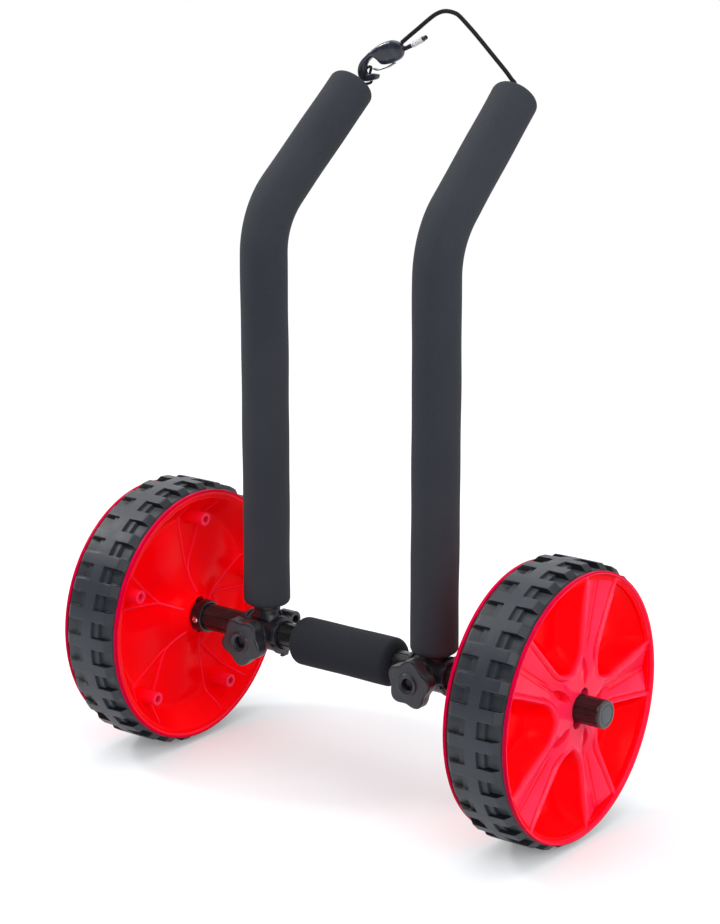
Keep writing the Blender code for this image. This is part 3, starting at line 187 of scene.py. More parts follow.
def smooth_path(route: Sequence, spacing: float) -> Array:
    """Points at an even spacing on the smooth curve through a route's points.

    Between points b and c, with neighbours a and d, the curve is
    b + ((c-a)t + (2a-5b+4c-d)t^2 + (3b-a-3c+d)t^3) / 2.

    Args:
        route: The points to pass through.
        spacing: The distance between the points wanted.

    Returns:
        The points, first and last ones included.
    """
    point = np.asarray(route, float)
    padded = np.vstack([2 * point[0] - point[1], point, 2 * point[-1] - point[-2]])
    a, b, c, d = (padded[i : len(padded) - 3 + i, None] for i in range(4))
    t = np.linspace(0, 1, 24, endpoint=False)[None, :, None]
    swing = (c - a) * t + (2 * a - 5 * b + 4 * c - d) * t**2 + (3 * b - a - 3 * c + d) * t**3
    fine = np.vstack([(b + swing / 2).reshape(-1, point.shape[1]), point[-1]])
    length = np.append(0, np.cumsum(np.linalg.norm(np.diff(fine, axis=0), axis=1)))
    even = np.linspace(0, length[-1], max(2, round(length[-1] / spacing)) + 1)
    return np.stack([np.interp(even, length, fine[:, i]) for i in range(point.shape[1])], axis=1)


def full_turn(sides: int) -> Array:
    """Even angles, once round."""
    return np.arange(sides) * 2 * np.pi / sides


def circled(radius: Array | float, height: Array | float, angle: Array) -> Array:
    """Points round Z: (r cos a, r sin a, h)."""
    return np.stack([radius * np.cos(angle), radius * np.sin(angle), height + 0 * radius * angle], axis=-1)


def circled_x(radius: Array | float, x: Array | float, angle: Array) -> Array:
    """Points round X: (x, r cos a, r sin a)."""
    return np.roll(circled(radius, x, angle), 1, axis=-1)


def bell(offset: Array, width: float) -> Array:
    """A bell of height 1 at offset 0: exp(-(offset/width)^2)."""
    return np.exp(-((offset / width) ** 2))


def path_length(path: Array) -> float:
    """The length of a path of points."""
    return float(np.linalg.norm(np.diff(path, axis=0), axis=1).sum())


def lengths_along(path: Array) -> Array:
    """How far along a path each of its evenly spaced points lies."""
    return np.linspace(0, path_length(path), len(path))


def eased(share: Array) -> Array:
    """Rises steeply from 0 and flattens out at 1: sin(pi/2 share)."""
    return np.sin(np.pi / 2 * np.clip(share, 0, 1))


def stepped(value: Array, low: float, high: float) -> Array:
    """Goes smoothly from 0 at low to 1 at high: t^2 (3 - 2t)."""
    t = np.clip((value - low) / (high - low), 0, 1)
    return t * t * (3 - 2 * t)


# Materials


class Signal:
    """A value between two nodes. Sums and products of signals add their Math nodes."""

    def __init__(self, brush: "Brush", socket: bpy.types.NodeSocket) -> None:
        """Keeps the brush and the socket that gives the value."""
        self.brush = brush
        self.socket = socket

    def _math(self, operation: str, *values: "Signal | float") -> "Signal":
        """A Math node with that operation on these values."""
        return self.brush.signal("ShaderNodeMath", {"operation": operation}, dict(enumerate(values)))

    def __add__(self, other: "Signal | float") -> "Signal":
        """The sum with another value."""
        return self._math("ADD", self, other)

    __radd__ = __add__

    def __sub__(self, other: "Signal | float") -> "Signal":
        """The difference from another value."""
        return self._math("SUBTRACT", self, other)

    def __rsub__(self, other: float) -> "Signal":
        """A number less this value."""
        return self._math("SUBTRACT", other, self)

    def __mul__(self, other: "Signal | float") -> "Signal":
        """The product with another value."""
        return self._math("MULTIPLY", self, other)

    __rmul__ = __mul__

    def wave(self) -> "Signal":
        """The sine of this value."""
        return self._math("SINE", self)

    def most(self, other: "Signal | float") -> "Signal":
        """The larger of two values."""
        return self._math("MAXIMUM", self, other)

    def between(self, low: float, high: float) -> "Signal":
        """Goes smoothly from 0 at low to 1 at high."""
        return self.brush.signal(
            "ShaderNodeMapRange",
            {"interpolation_type": "SMOOTHSTEP"},
            {"Value": self, "From Min": low, "From Max": high},
        )


class Brush:
    """Makes the nodes of one material or of the world."""

    def __init__(self, owner: bpy.types.Material | bpy.types.World) -> None:
        """Clears the owner's nodes."""
        owner.use_nodes = True
        self.tree = owner.node_tree
        self.tree.nodes.clear()

    def node(self, kind: str, settings: dict | None = None, inputs: dict | None = None) -> bpy.types.Node:
        """A node with its settings and then its inputs.

        Args:
            kind: The node's type.
            settings: Values by property name, such as a Math node's operation.
            inputs: Numbers, colours or signals, by socket name or place.

        Returns:
            The node.
        """
        made = self.tree.nodes.new(kind)
        for name, value in (settings or {}).items():
            setattr(made, name, value)
        for key, value in (inputs or {}).items():
            if isinstance(value, Signal):
                self.tree.links.new(value.socket, made.inputs[key])
            else:
                made.inputs[key].default_value = value
        return made

    def signal(
        self,
        kind: str,
        settings: dict | None = None,
        inputs: dict | None = None,
        output: int | str = 0,
    ) -> Signal:
        """One output of a new node, by its name or place."""
        return Signal(self, self.node(kind, settings, inputs).outputs[output])

    def place(self, stretch: tuple[float, float, float] = (1, 1, 1)) -> Signal:
        """Object coordinates from the middle of the axle, stretched along the axes if wanted.

        Args:
            stretch: The factor along each axis.

        Returns:
            The coordinates.
        """
        here = self.signal("ShaderNodeTexCoord", output="Object")
        back = tuple(-middle * size for middle, size in zip(AXLE, stretch))
        inputs = {"Vector": here, "Location": back, "Scale": stretch}
        return self.signal("ShaderNodeMapping", {"vector_type": "POINT"}, inputs)

    def vector(self, operation: str, *values: "Signal | tuple") -> Signal:
        """A Vector Math node with that operation on these values."""
        output = "Value" if operation in ("LENGTH", "DOT_PRODUCT") else "Vector"
        return self.signal("ShaderNodeVectorMath", {"operation": operation}, dict(enumerate(values)), output)

    def split(self, vector: Signal) -> list[Signal]:
        """The three parts of a vector."""
        parts = self.node("ShaderNodeSeparateXYZ", inputs={0: vector}).outputs
        return [Signal(self, part) for part in parts]

    def rays(self, *kinds: str) -> list[Signal]:
        """One signal for each kind of ray, 1 on such a ray and 0 on others."""
        outputs = self.node("ShaderNodeLightPath").outputs
        return [Signal(self, outputs[f"Is {kind} Ray"]) for kind in kinds]

    def noise(self, scale: float, detail: float = 3, where: Signal | None = None) -> Signal:
        """Cloudy noise round 0.5, with its features 1 / scale metres across."""
        inputs = {"Vector": where or self.place(), "Scale": scale, "Detail": detail}
        return self.signal("ShaderNodeTexNoise", inputs=inputs)

    def mix(self, first: "Signal | tuple", second: "Signal | tuple", share: "Signal | float") -> Signal:
        """A colour between two, second where the share is 1.

        Args:
            first: The colour where the share is 0.
            second: The colour where it is 1.
            share: How much of the second there is.

        Returns:
            The mixed colour.
        """
        pair = [value if isinstance(value, Signal) else (*value, 1) for value in (first, second)]
        inputs = {0: share, 6: pair[0], 7: pair[1]}
        return self.signal("ShaderNodeMix", {"data_type": "RGBA"}, inputs, 2)

    def bump(self, height: Signal, depth: float, over: Signal | None = None) -> Signal:
        """A normal for this relief, which is depth metres high, on top of another one.

        Args:
            height: The relief, from 0 to 1.
            depth: Its height in metres.
            over: The normal of a relief that lies under this one.

        Returns:
            The normal.
        """
        inputs = {"Height": height, "Distance": depth, "Strength": 1.0}
        if over:
            inputs["Normal"] = over
        return self.signal("ShaderNodeBump", inputs=inputs)

    def coat(self, **inputs: object) -> None:
        """The shader and the output. A socket's name has _ for its spaces.

        Args:
            inputs: Numbers, colours or signals by socket.
        """
        named = {name.replace("_", " "): value for name, value in inputs.items()}
        shader = self.signal("ShaderNodeBsdfPrincipled", inputs=named)
        self.node("ShaderNodeOutputMaterial", inputs={"Surface": shader})


@dataclass(frozen=True)
class Finish:
    """A finish with a name and the name of the slot that it belongs to."""

    name: str
    slot: str
    colour: Colour
    roughness: float

    def paint(self, brush: Brush) -> None:
        """Adds the nodes of the finish.

        Args:
            brush: Makes the nodes.
        """
        raise NotImplementedError

    def material(self) -> bpy.types.Material:
        """The finish's material, made when it is first asked for.

        Returns:
            The material.
        """
        found = bpy.data.materials.get(self.name)
        if found is None:
            found = bpy.data.materials.new(self.name)
            self.paint(Brush(found))
            found.diffuse_color = (*self.colour, 1)
        return found


@dataclass(frozen=True)
class FoamSkin(Finish):
    """Closed-cell foam: a fine pebbled skin that drinks light, a little uneven in tone."""

    dust: Colour = (0.036, 0.04, 0.05)

    def paint(self, brush: Brush) -> None:
        """Pebbles and pits in relief, and slow patches in tone.

        Args:
            brush: Makes the nodes.
        """
        pebbles = brush.noise(620, 4)
        pits = brush.signal("ShaderNodeTexVoronoi", inputs={"Vector": brush.place(), "Scale": 900})
        patches = brush.noise(16, 2)
        tone = (patches - 0.5) * 0.9 + (pebbles - 0.5) * 0.7
        colour = brush.mix(self.colour, self.dust, (tone * 0.8 + 0.25).between(0, 1))
        relief = brush.bump(pebbles + pits * 0.5, 0.32 * MM)
        brush.coat(
            Base_Color=colour,
            Roughness=0.78 + pebbles * 0.2,
            Normal=relief,
            Specular_IOR_Level=0.3,
            Sheen_Weight=0.02,
            Sheen_Roughness=0.6,
        )


@dataclass(frozen=True)
class TyreRubber(Finish):
    """Tread rubber: lighter in patches on lug tops, painted shade in the grooves, on lug walls and below the
    lip.
    """

    # The groove colour is painted shade towards the groove floors; the wall colour is painted shade on the
    # lug walls and below the lip.
    groove: Colour = (0.015, 0.0185, 0.025)
    top: Colour = (0.023, 0.028, 0.038)
    wall: Colour = (0.003, 0.0035, 0.005)
    floor_r: float = 119.5 * MM
    lip_r: float = 121 * MM
    lug_r: float = 124.5 * MM
    top_r: float = 127 * MM

    def paint(self, brush: Brush) -> None:
        """Tone by the distance from the axle and by how much a face looks along the tread.

        Args:
            brush: Makes the nodes.
        """
        flat = brush.place((0, 1, 1))
        reach = brush.vector("LENGTH", flat)
        height = reach.between(self.floor_r, self.lug_r)
        smears = brush.noise(90, 5)
        grain = brush.noise(1500, 3)
        along = brush.vector("CROSS_PRODUCT", (1, 0, 0), brush.vector("NORMALIZE", flat))
        lean = brush.vector("DOT_PRODUCT", along, brush.signal("ShaderNodeTexCoord", output="Normal"))
        # Painted shade: darker towards the groove floors.
        dark = brush.mix(self.groove, self.colour, height)
        share = reach.between(self.lug_r, self.top_r) * (0.35 + smears * 0.8)
        tops = brush.mix(dark, self.top, share.between(0, 1))
        # Painted shade: the lug walls go near black.
        sides = brush.mix(tops, self.wall, (lean * lean).between(0.15, 0.6))
        # Painted shade: near black below the rim's lip, as a shadow gap.
        above_lip = reach.between(self.lip_r - 0.4 * MM, self.lip_r + 0.4 * MM)
        colour = brush.mix(self.wall, sides, above_lip)
        brush.coat(
            Base_Color=colour,
            Roughness=0.34 + smears * 0.24,
            Normal=brush.bump(grain + smears * 1.5, 0.12 * MM),
            Specular_IOR_Level=0.45,
        )


@dataclass(frozen=True)
class RedShell(Finish):
    """Glossy injection-moulded red with flow marks and hair scratches, and a painted pink sheen on its
    raised parts.

    The second coordinate of the piece's UV map gives the share of painted sheen, which follows how raised
    the surface is, from 0 to 1, and goes down to -1 where painted shade darkens the outside of a lip.
    """

    deep: Colour = (0.88, 0.0, 0.002)
    # The pink colour is a painted reflection on the raised parts; the dark red one is painted shade on the
    # outside of a lip.
    painted_sheen: Colour = (0.95, 0.018, 0.07)
    painted_lip_shade: Colour = (0.55, 0.0, 0.035)

    def paint(self, brush: Brush) -> None:
        """Slow tone from the flow of the plastic, and gloss that varies with fine scratches.

        Args:
            brush: Makes the nodes.
        """
        flow = brush.noise(22, 3)
        scratches = brush.noise(260, 6, brush.place((0.35, 1, 2.4)))
        ripple = brush.noise(75, 2)
        second = brush.split(brush.signal("ShaderNodeUVMap"))[1]
        # The sheen share sets both the painted pink reflection and the coat's weight.
        sheen_share = second.between(0, 1) * (0.7 + flow * 0.6)
        colour = brush.mix(self.deep, self.colour, (flow * 1.2 + 0.1).between(0, 1))
        # Painted shade in dark red where the second coordinate falls below 0, on the outside of a lip.
        colour = brush.mix(colour, self.painted_lip_shade, (0 - second).between(0, 1))
        brush.coat(
            Base_Color=brush.mix(colour, self.painted_sheen, sheen_share),
            Roughness=self.roughness + (scratches - 0.5) * 0.16 + (flow - 0.5) * 0.06,
            Normal=brush.bump(ripple + scratches * 0.12, 0.25 * MM),
            Specular_IOR_Level=0.015,
            Coat_Weight=sheen_share * 0.24 + 0.02,
            Coat_Roughness=0.1,
        )


@dataclass(frozen=True)
class MouldedPlastic(Finish):
    """Glass-filled nylon: a spark-eroded grain, scuffed a little brighter in patches."""

    scuff: Colour = (0.07, 0.072, 0.078)
    grain_size: float = 0.06 * MM

    def paint(self, brush: Brush) -> None:
        """Fine grain in relief, with scuffs in tone and gloss.

        Args:
            brush: Makes the nodes.
        """
        grain = brush.noise(1900, 4)
        scuffs = brush.noise(140, 5)
        colour = brush.mix(self.colour, self.scuff, scuffs.between(0.45, 0.85) * 0.7)
        brush.coat(
            Base_Color=colour,
            Roughness=self.roughness + (scuffs - 0.5) * 0.3,
            Normal=brush.bump(grain, self.grain_size),
            Specular_IOR_Level=0.5,
        )


@dataclass(frozen=True)
class PaintedTube(Finish):
    """Black anodised tube with drawing lines along its length."""

    worn: Colour = (0.05, 0.05, 0.055)

    def paint(self, brush: Brush) -> None:
        """Lines along X in tone, gloss and relief.

        Args:
            brush: Makes the nodes.
        """
        lines = brush.noise(1400, 3, brush.place((0.01, 1, 1)))
        wear = brush.noise(60, 4)
        share = (lines * 0.5 + wear * 0.5).between(0.4, 0.8) * 0.5
        brush.coat(
            Base_Color=brush.mix(self.colour, self.worn, share),
            Roughness=self.roughness + (lines - 0.5) * 0.2 + (wear - 0.5) * 0.1,
            Normal=brush.bump(lines, 0.05 * MM),
            Metallic=0.25,
        )


@dataclass(frozen=True)
class BareMetal(Finish):
    """Bare metal with fine marks of turning and handling."""

    def paint(self, brush: Brush) -> None:
        """Gloss and tone that vary with fine marks.

        Args:
            brush: Makes the nodes.
        """
        marks = brush.noise(700, 5)
        dull = brush.noise(180, 3)
        darker = tuple(part * 0.6 for part in self.colour)
        brush.coat(
            Base_Color=brush.mix(self.colour, darker, dull.between(0.4, 0.8)),
            Roughness=self.roughness + (marks - 0.5) * 0.2,
            Normal=brush.bump(marks, 0.02 * MM),
            Metallic=1.0,
        )


@dataclass(frozen=True)
class BraidedCord(Finish):
    """Braided sheath: two sets of strands that cross, on the piece's own UV map."""

    strands: int = 8
    pitch: float = 2.6 * MM
    thread: Colour = (0.018, 0.017, 0.02)

    def paint(self, brush: Brush) -> None:
        """Strands where either of two slanted waves is high, and dark gaps between them.

        Args:
            brush: Makes the nodes.
        """
        around, along, _ = brush.split(brush.signal("ShaderNodeUVMap"))
        turn = around * (2 * math.pi * self.strands)
        along = along * (2 * math.pi / self.pitch)
        weave = (turn + along).wave().most((turn - along).wave())
        fuzz = brush.noise(2600, 3)
        height = weave.between(-0.4, 1.0)
        brush.coat(
            Base_Color=brush.mix(self.colour, self.thread, height * (0.4 + fuzz * 0.6)),
            Roughness=0.9 - height * 0.2,
            Normal=brush.bump(height + fuzz * 0.3, 0.22 * MM),
            Specular_IOR_Level=0.25,
        )


@dataclass(frozen=True)
class ClearTube(Finish):
    """Clear shrink tube with milky streaks."""

    milk: Colour = (0.16, 0.16, 0.18)

    def paint(self, brush: Brush) -> None:
        """Milky streaks in tone and gloss over a mostly clear wall.

        Args:
            brush: Makes the nodes.
        """
        streaks = brush.noise(500, 4)
        brush.coat(
            Base_Color=brush.mix(self.colour, self.milk, streaks.between(0.5, 0.66)),
            Roughness=self.roughness + streaks * 0.2,
            Normal=brush.bump(streaks, 0.1 * MM),
            Transmission_Weight=0.12,
            Alpha=0.9 + streaks * 0.1,
        )


FOAM = FoamSkin("Closed-cell foam", "foam", (0.022, 0.0255, 0.033), 0.9)
DARK_FOAM = FoamSkin(
    "Dark closed-cell foam", "foam", (0.009, 0.0115, 0.0175), 0.9, dust=(0.0135, 0.017, 0.0255)
)
TYRE = TyreRubber("Tread rubber", "tyre", (0.017, 0.021, 0.028), 0.45)
RED = RedShell("Red moulding", "red_plastic", (1.0, 0.0, 0.003), 0.22)
NYLON = MouldedPlastic(
    "Grey nylon moulding", "dark_plastic", (0.011, 0.0125, 0.018), 0.4, scuff=(0.036, 0.038, 0.05)
)
HOOK = MouldedPlastic(
    "Glossy hook nylon", "dark_plastic", (0.02, 0.023, 0.034), 0.2, (0.06, 0.065, 0.085), 0.03 * MM
)
SATIN = MouldedPlastic(
    "Black satin moulding", "black_satin", (0.005, 0.005, 0.007), 0.3, scuff=(0.02, 0.02, 0.024)
)
CAP = MouldedPlastic("Grey end cap", "grey_cap", (0.044, 0.05, 0.054), 0.45, scuff=(0.085, 0.095, 0.1))
TUBE = PaintedTube("Black anodised tube", "black_tube", (0.012, 0.012, 0.013), 0.3)
STEEL = BareMetal("Bright steel", "bright_steel", (0.66, 0.66, 0.65), 0.24)
BRASS = BareMetal("Turned brass", "brass", (0.6, 0.42, 0.16), 0.3)
CORD = BraidedCord("Braided cord", "cord", (0.002, 0.002, 0.003), 0.8)
CLEAR = ClearTube("Clear shrink tube", "clear_sleeve", (0.78, 0.78, 0.8), 0.12)


def dress(finish: Finish, *nodes: str) -> None:
    """Gives CAD nodes that stay on show a finish.

    Args:
        finish: The finish.
        nodes: The nodes' names.
    """
    for name in nodes:
        for material_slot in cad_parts[name].material_slots:
            material_slot.material = finish.material()
        log.info("dressed %s in %s", name, finish.name)


# Surfaces


@dataclass(frozen=True)
class Skin:
    """A surface of four-sided faces, with the two pattern coordinates of each face corner."""

    points: Array
    quads: Array
    corners: Array

    @classmethod
    def grid(
        cls,
        points: Array,
        around: bool = False,
        closed: bool = False,
        second: Array | None = None,
    ) -> "Skin":
        """Faces between the points of a grid.

        Args:
            points: Rows by columns by three.
            around: Whether the last column joins the first.
            closed: Whether the last row joins the first.
            second: The pattern's second coordinate, one for each row or for each point.

        Returns:
            The surface, with faces out if it is closed.
        """
        rows, columns = points.shape[:2]
        row, column = np.meshgrid(
            np.arange(rows if closed else rows - 1),
            np.arange(columns if around else columns - 1),
            indexing="ij",
        )
        i = np.stack([row, row, row + 1, row + 1], axis=-1).reshape(-1, 4)
        j = np.stack([column, column + 1, column + 1, column], axis=-1).reshape(-1, 4)
        if second is None:
            second = np.arange(rows) / rows
        table = np.broadcast_to(second.reshape(rows, -1), (rows, columns))
        corners = np.stack([j / columns, table[i % rows, j % columns]], axis=-1)
        quads = (i % rows) * columns + j % columns
        return cls(points.reshape(-1, 3), quads, corners).outward()

    def outward(self) -> "Skin":
        """The surface with its faces turned out, by the sign of the volume that it holds.

        Returns:
            The surface.
        """
        a, b, c, d = (self.points[self.quads[:, i]] for i in range(4))
        volume = np.einsum("ij,ij->", a, np.cross(b, c)) + np.einsum("ij,ij->", a, np.cross(c, d))
        return Skin(self.points, self.quads[:, ::-1], self.corners[:, ::-1]) if volume < 0 else self

    def moved(self, matrix: Array) -> "Skin":
        """The surface carried by a 4x4 matrix."""
        points = self.points @ matrix[:3, :3].T + matrix[:3, 3]
        return Skin(points, self.quads, self.corners)

    def __add__(self, other: "Skin") -> "Skin":
        """Both surfaces as one."""
        return Skin(
            np.vstack([self.points, other.points]),
            np.vstack([self.quads, other.quads + len(self.points)]),
            np.vstack([self.corners, other.corners]),
        )

    def mesh(self, name: str) -> bpy.types.Mesh:
        """The surface as a mesh with its doubles merged and a UV map.

        Args:
            name: The mesh's name.

        Returns:
            The mesh.
        """
        mesh = bpy.data.meshes.new(name)
        mesh.vertices.add(len(self.points))
        mesh.vertices.foreach_set("co", self.points.astype(np.float32).ravel())
        mesh.loops.add(self.quads.size)
        mesh.loops.foreach_set("vertex_index", self.quads.astype(np.int32).ravel())
        mesh.polygons.add(len(self.quads))
        mesh.polygons.foreach_set("loop_start", np.arange(0, self.quads.size, 4, dtype=np.int32))
        mesh.update(calc_edges=True)
        layer = mesh.uv_layers.new(name="UVMap")
        layer.uv.foreach_set("vector", self.corners.astype(np.float32).ravel())
        work = bmesh.new()
        work.from_mesh(mesh)
        bmesh.ops.remove_doubles(work, verts=work.verts, dist=WELD)
        work.to_mesh(mesh)
        work.free()
        return mesh

    def build(
        self,
        name: str,
        finish: Finish,
        body: str | None,
        node: str | None = None,
        sharp: float = 38,
    ) -> bpy.types.Object:
        """The surface as a finished piece. See finished."""
        return finished(self.mesh(name), name, finish, body, node, sharp)


def linked(name: str, data: bpy.types.ID) -> bpy.types.Object:
    """An object with this data, in the scene.

    Args:
        name: The object's name.
        data: Its mesh, camera or lamp.

    Returns:
        The object.
    """
    made = bpy.data.objects.new(name, data)
    bpy.context.scene.collection.objects.link(made)
    return made


def finished(
    mesh: bpy.types.Mesh,
    name: str,
    finish: Finish,
    body: str | None,
    node: str | None = None,
    sharp: float = 38,
) -> bpy.types.Object:
    """Puts a mesh in the scene as a piece of the cart.

    Args:
        mesh: The mesh.
        name: The piece's name, and that of the CAD node that it stands for, if there is one.
        finish: Its finish.
        body: The CAD body that it rides on, or None for none.
        node: The CAD node that it stands for, where that has another name.
        sharp: Edges above this angle, in degrees, stay sharp.

    Returns:
        The piece.
    """
    mesh.shade_smooth()
    mesh.set_sharp_from_angle(angle=sharp * DEGREE)
    mesh.materials.clear()
    mesh.materials.append(finish.material())
    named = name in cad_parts
    piece = linked(name + "_skin" if named else name, mesh)
    if body:
        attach(piece, body)
    if node or named:
        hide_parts(node or name)
    log.info("built %s, %d faces", name, len(mesh.polygons))
    return piece


def lathe(profile: Array, sides: int, closed: bool = False, second: Array | None = None) -> Skin:
    """A profile of (radius, height) turned about Z: (r cos a, r sin a, h)."""
    radius, height = np.asarray(profile, float).T[:, :, None]
    return Skin.grid(circled(radius, height, full_turn(sides)), True, closed, second)


def rod(radius: float, start: float, end: float, sides: int = 48) -> Skin:
    """A closed cylinder along Z."""
    return lathe([(0, start), (radius, start), (radius, end), (0, end)], sides)


def solid(points: Array, dome: float = 0.0, steps: int = 3) -> Array:
    """Closes both ends of a tube of rings with shallow domes.

    A dome's ring is the end ring shrunk by cos(t) towards its middle and carried out by
    dome sin(t), for t up to a quarter turn.

    Args:
        points: Rings by columns by three.
        dome: How far each end bulges out, in metres.
        steps: Rings in each dome.

    Returns:
        The rings with the domes' rings before and after them.
    """
    t = (np.arange(1, steps + 1) / steps * np.pi / 2)[:, None, None]
    ends = []
    for ring, inner in ((points[0], points[1]), (points[-1], points[-2])):
        middle = ring.mean(axis=0)
        out = middle - inner.mean(axis=0)
        out /= max(np.linalg.norm(out), 1e-9)
        ends.append(middle + (ring - middle)[None] * np.cos(t) + out * dome * np.sin(t))
    return np.concatenate([ends[0][::-1], points, ends[1]])


def across_path(path: Array, up: Sequence[float]) -> tuple[Array, Array]:
    """Two unit vectors across a path at each of its points, turned as little as possible.

    Each first vector is the one before it less its share along the path's new direction.

    Args:
        path: The points.
        up: Roughly where the first vector starts.

    Returns:
        The first and the second vectors, one row for each point.
    """
    run = np.gradient(path, axis=0)
    run /= np.linalg.norm(run, axis=1)[:, None]
    first = np.empty_like(path)
    last = np.asarray(up, float)
    for i, direction in enumerate(run):
        last = last - direction * (last @ direction)
        last /= np.linalg.norm(last)
        first[i] = last
    return first, np.cross(run, first)


def swept(path: Array, section: Array, up: Sequence[float] = (0, 1, 0)) -> Array:
    """A flat section carried along a path: p + u first + v second."""
    first, second = across_path(path, up)
    return path[:, None] + section[:, :1] * first[:, None] + section[:, 1:] * second[:, None]


def tube(path: Array, radius: float, sides: int, up: Sequence[float] = (0, 1, 0)) -> Array:
    """Rings round a path."""
    return swept(path, circled(radius, 0, full_turn(sides))[:, :2], up)


def strip(width: float, thickness: float, rounding: float, steps: int) -> Array:
    """The section of a flat strip with rounded corners."""
    x, y = width / 2, thickness / 2
    return rounded([(-x, -y), (x, -y), (x, y), (-x, y)], rounding, steps, closed=True) * MM


def cord_skin(rings: Array, lengths: Array, dome: float = 0.0) -> Skin:
    """A cord's closed surface, with the length along it as the pattern's second coordinate.

    Args:
        rings: The rings along the cord.
        lengths: How far along each ring lies.
        dome: How far each end bulges out.

    Returns:
        The surface.
    """
    rows = solid(rings, dome)
    measured = np.pad(lengths, (len(rows) - len(rings)) // 2, mode="edge")
    return Skin.grid(rows, around=True, second=measured)


def carved(
    name: str,
    solids: Sequence[Skin],
    cuts: Sequence[Skin] = (),
    voxel: float = 0.0,
    smooth: int = 0,
) -> bpy.types.Mesh:
    """Joins solids, cuts others out, and rounds what is left as a moulding is, if wanted.

    Its joints are voxels of that size, smoothed that many times, so each inner corner gets a
    small fillet and each outer one a small radius.

    Args:
        name: The mesh's name.
        solids: The closed surfaces to join.
        cuts: The closed surfaces to cut out.
        voxel: The size of a voxel, in metres, or 0 to keep the corners as they are.
        smooth: How many times to smooth the voxels.

    Returns:
        The mesh.
    """
    parts = [linked(f"{name}_{i}", skin.mesh(name)) for i, skin in enumerate([*solids, *cuts])]
    body = parts[0]
    for i, part in enumerate(parts[1:], start=1):
        cut = body.modifiers.new(part.name, "BOOLEAN")
        cut.operation = "UNION" if i < len(solids) else "DIFFERENCE"
        cut.solver = "EXACT"
        cut.object = part
    if voxel:
        remesh = body.modifiers.new("Remesh", "REMESH")
        remesh.mode = "VOXEL"
        remesh.voxel_size = voxel
        relax = body.modifiers.new("Smooth", "SMOOTH")
        relax.factor = 0.5
        relax.iterations = smooth
    graph = bpy.context.evaluated_depsgraph_get()
    mesh = bpy.data.meshes.new_from_object(body.evaluated_get(graph))
    mesh.name = name
    for part in parts:
        old = part.data
        bpy.data.objects.remove(part)
        bpy.data.meshes.remove(old)
    return mesh


# Studio


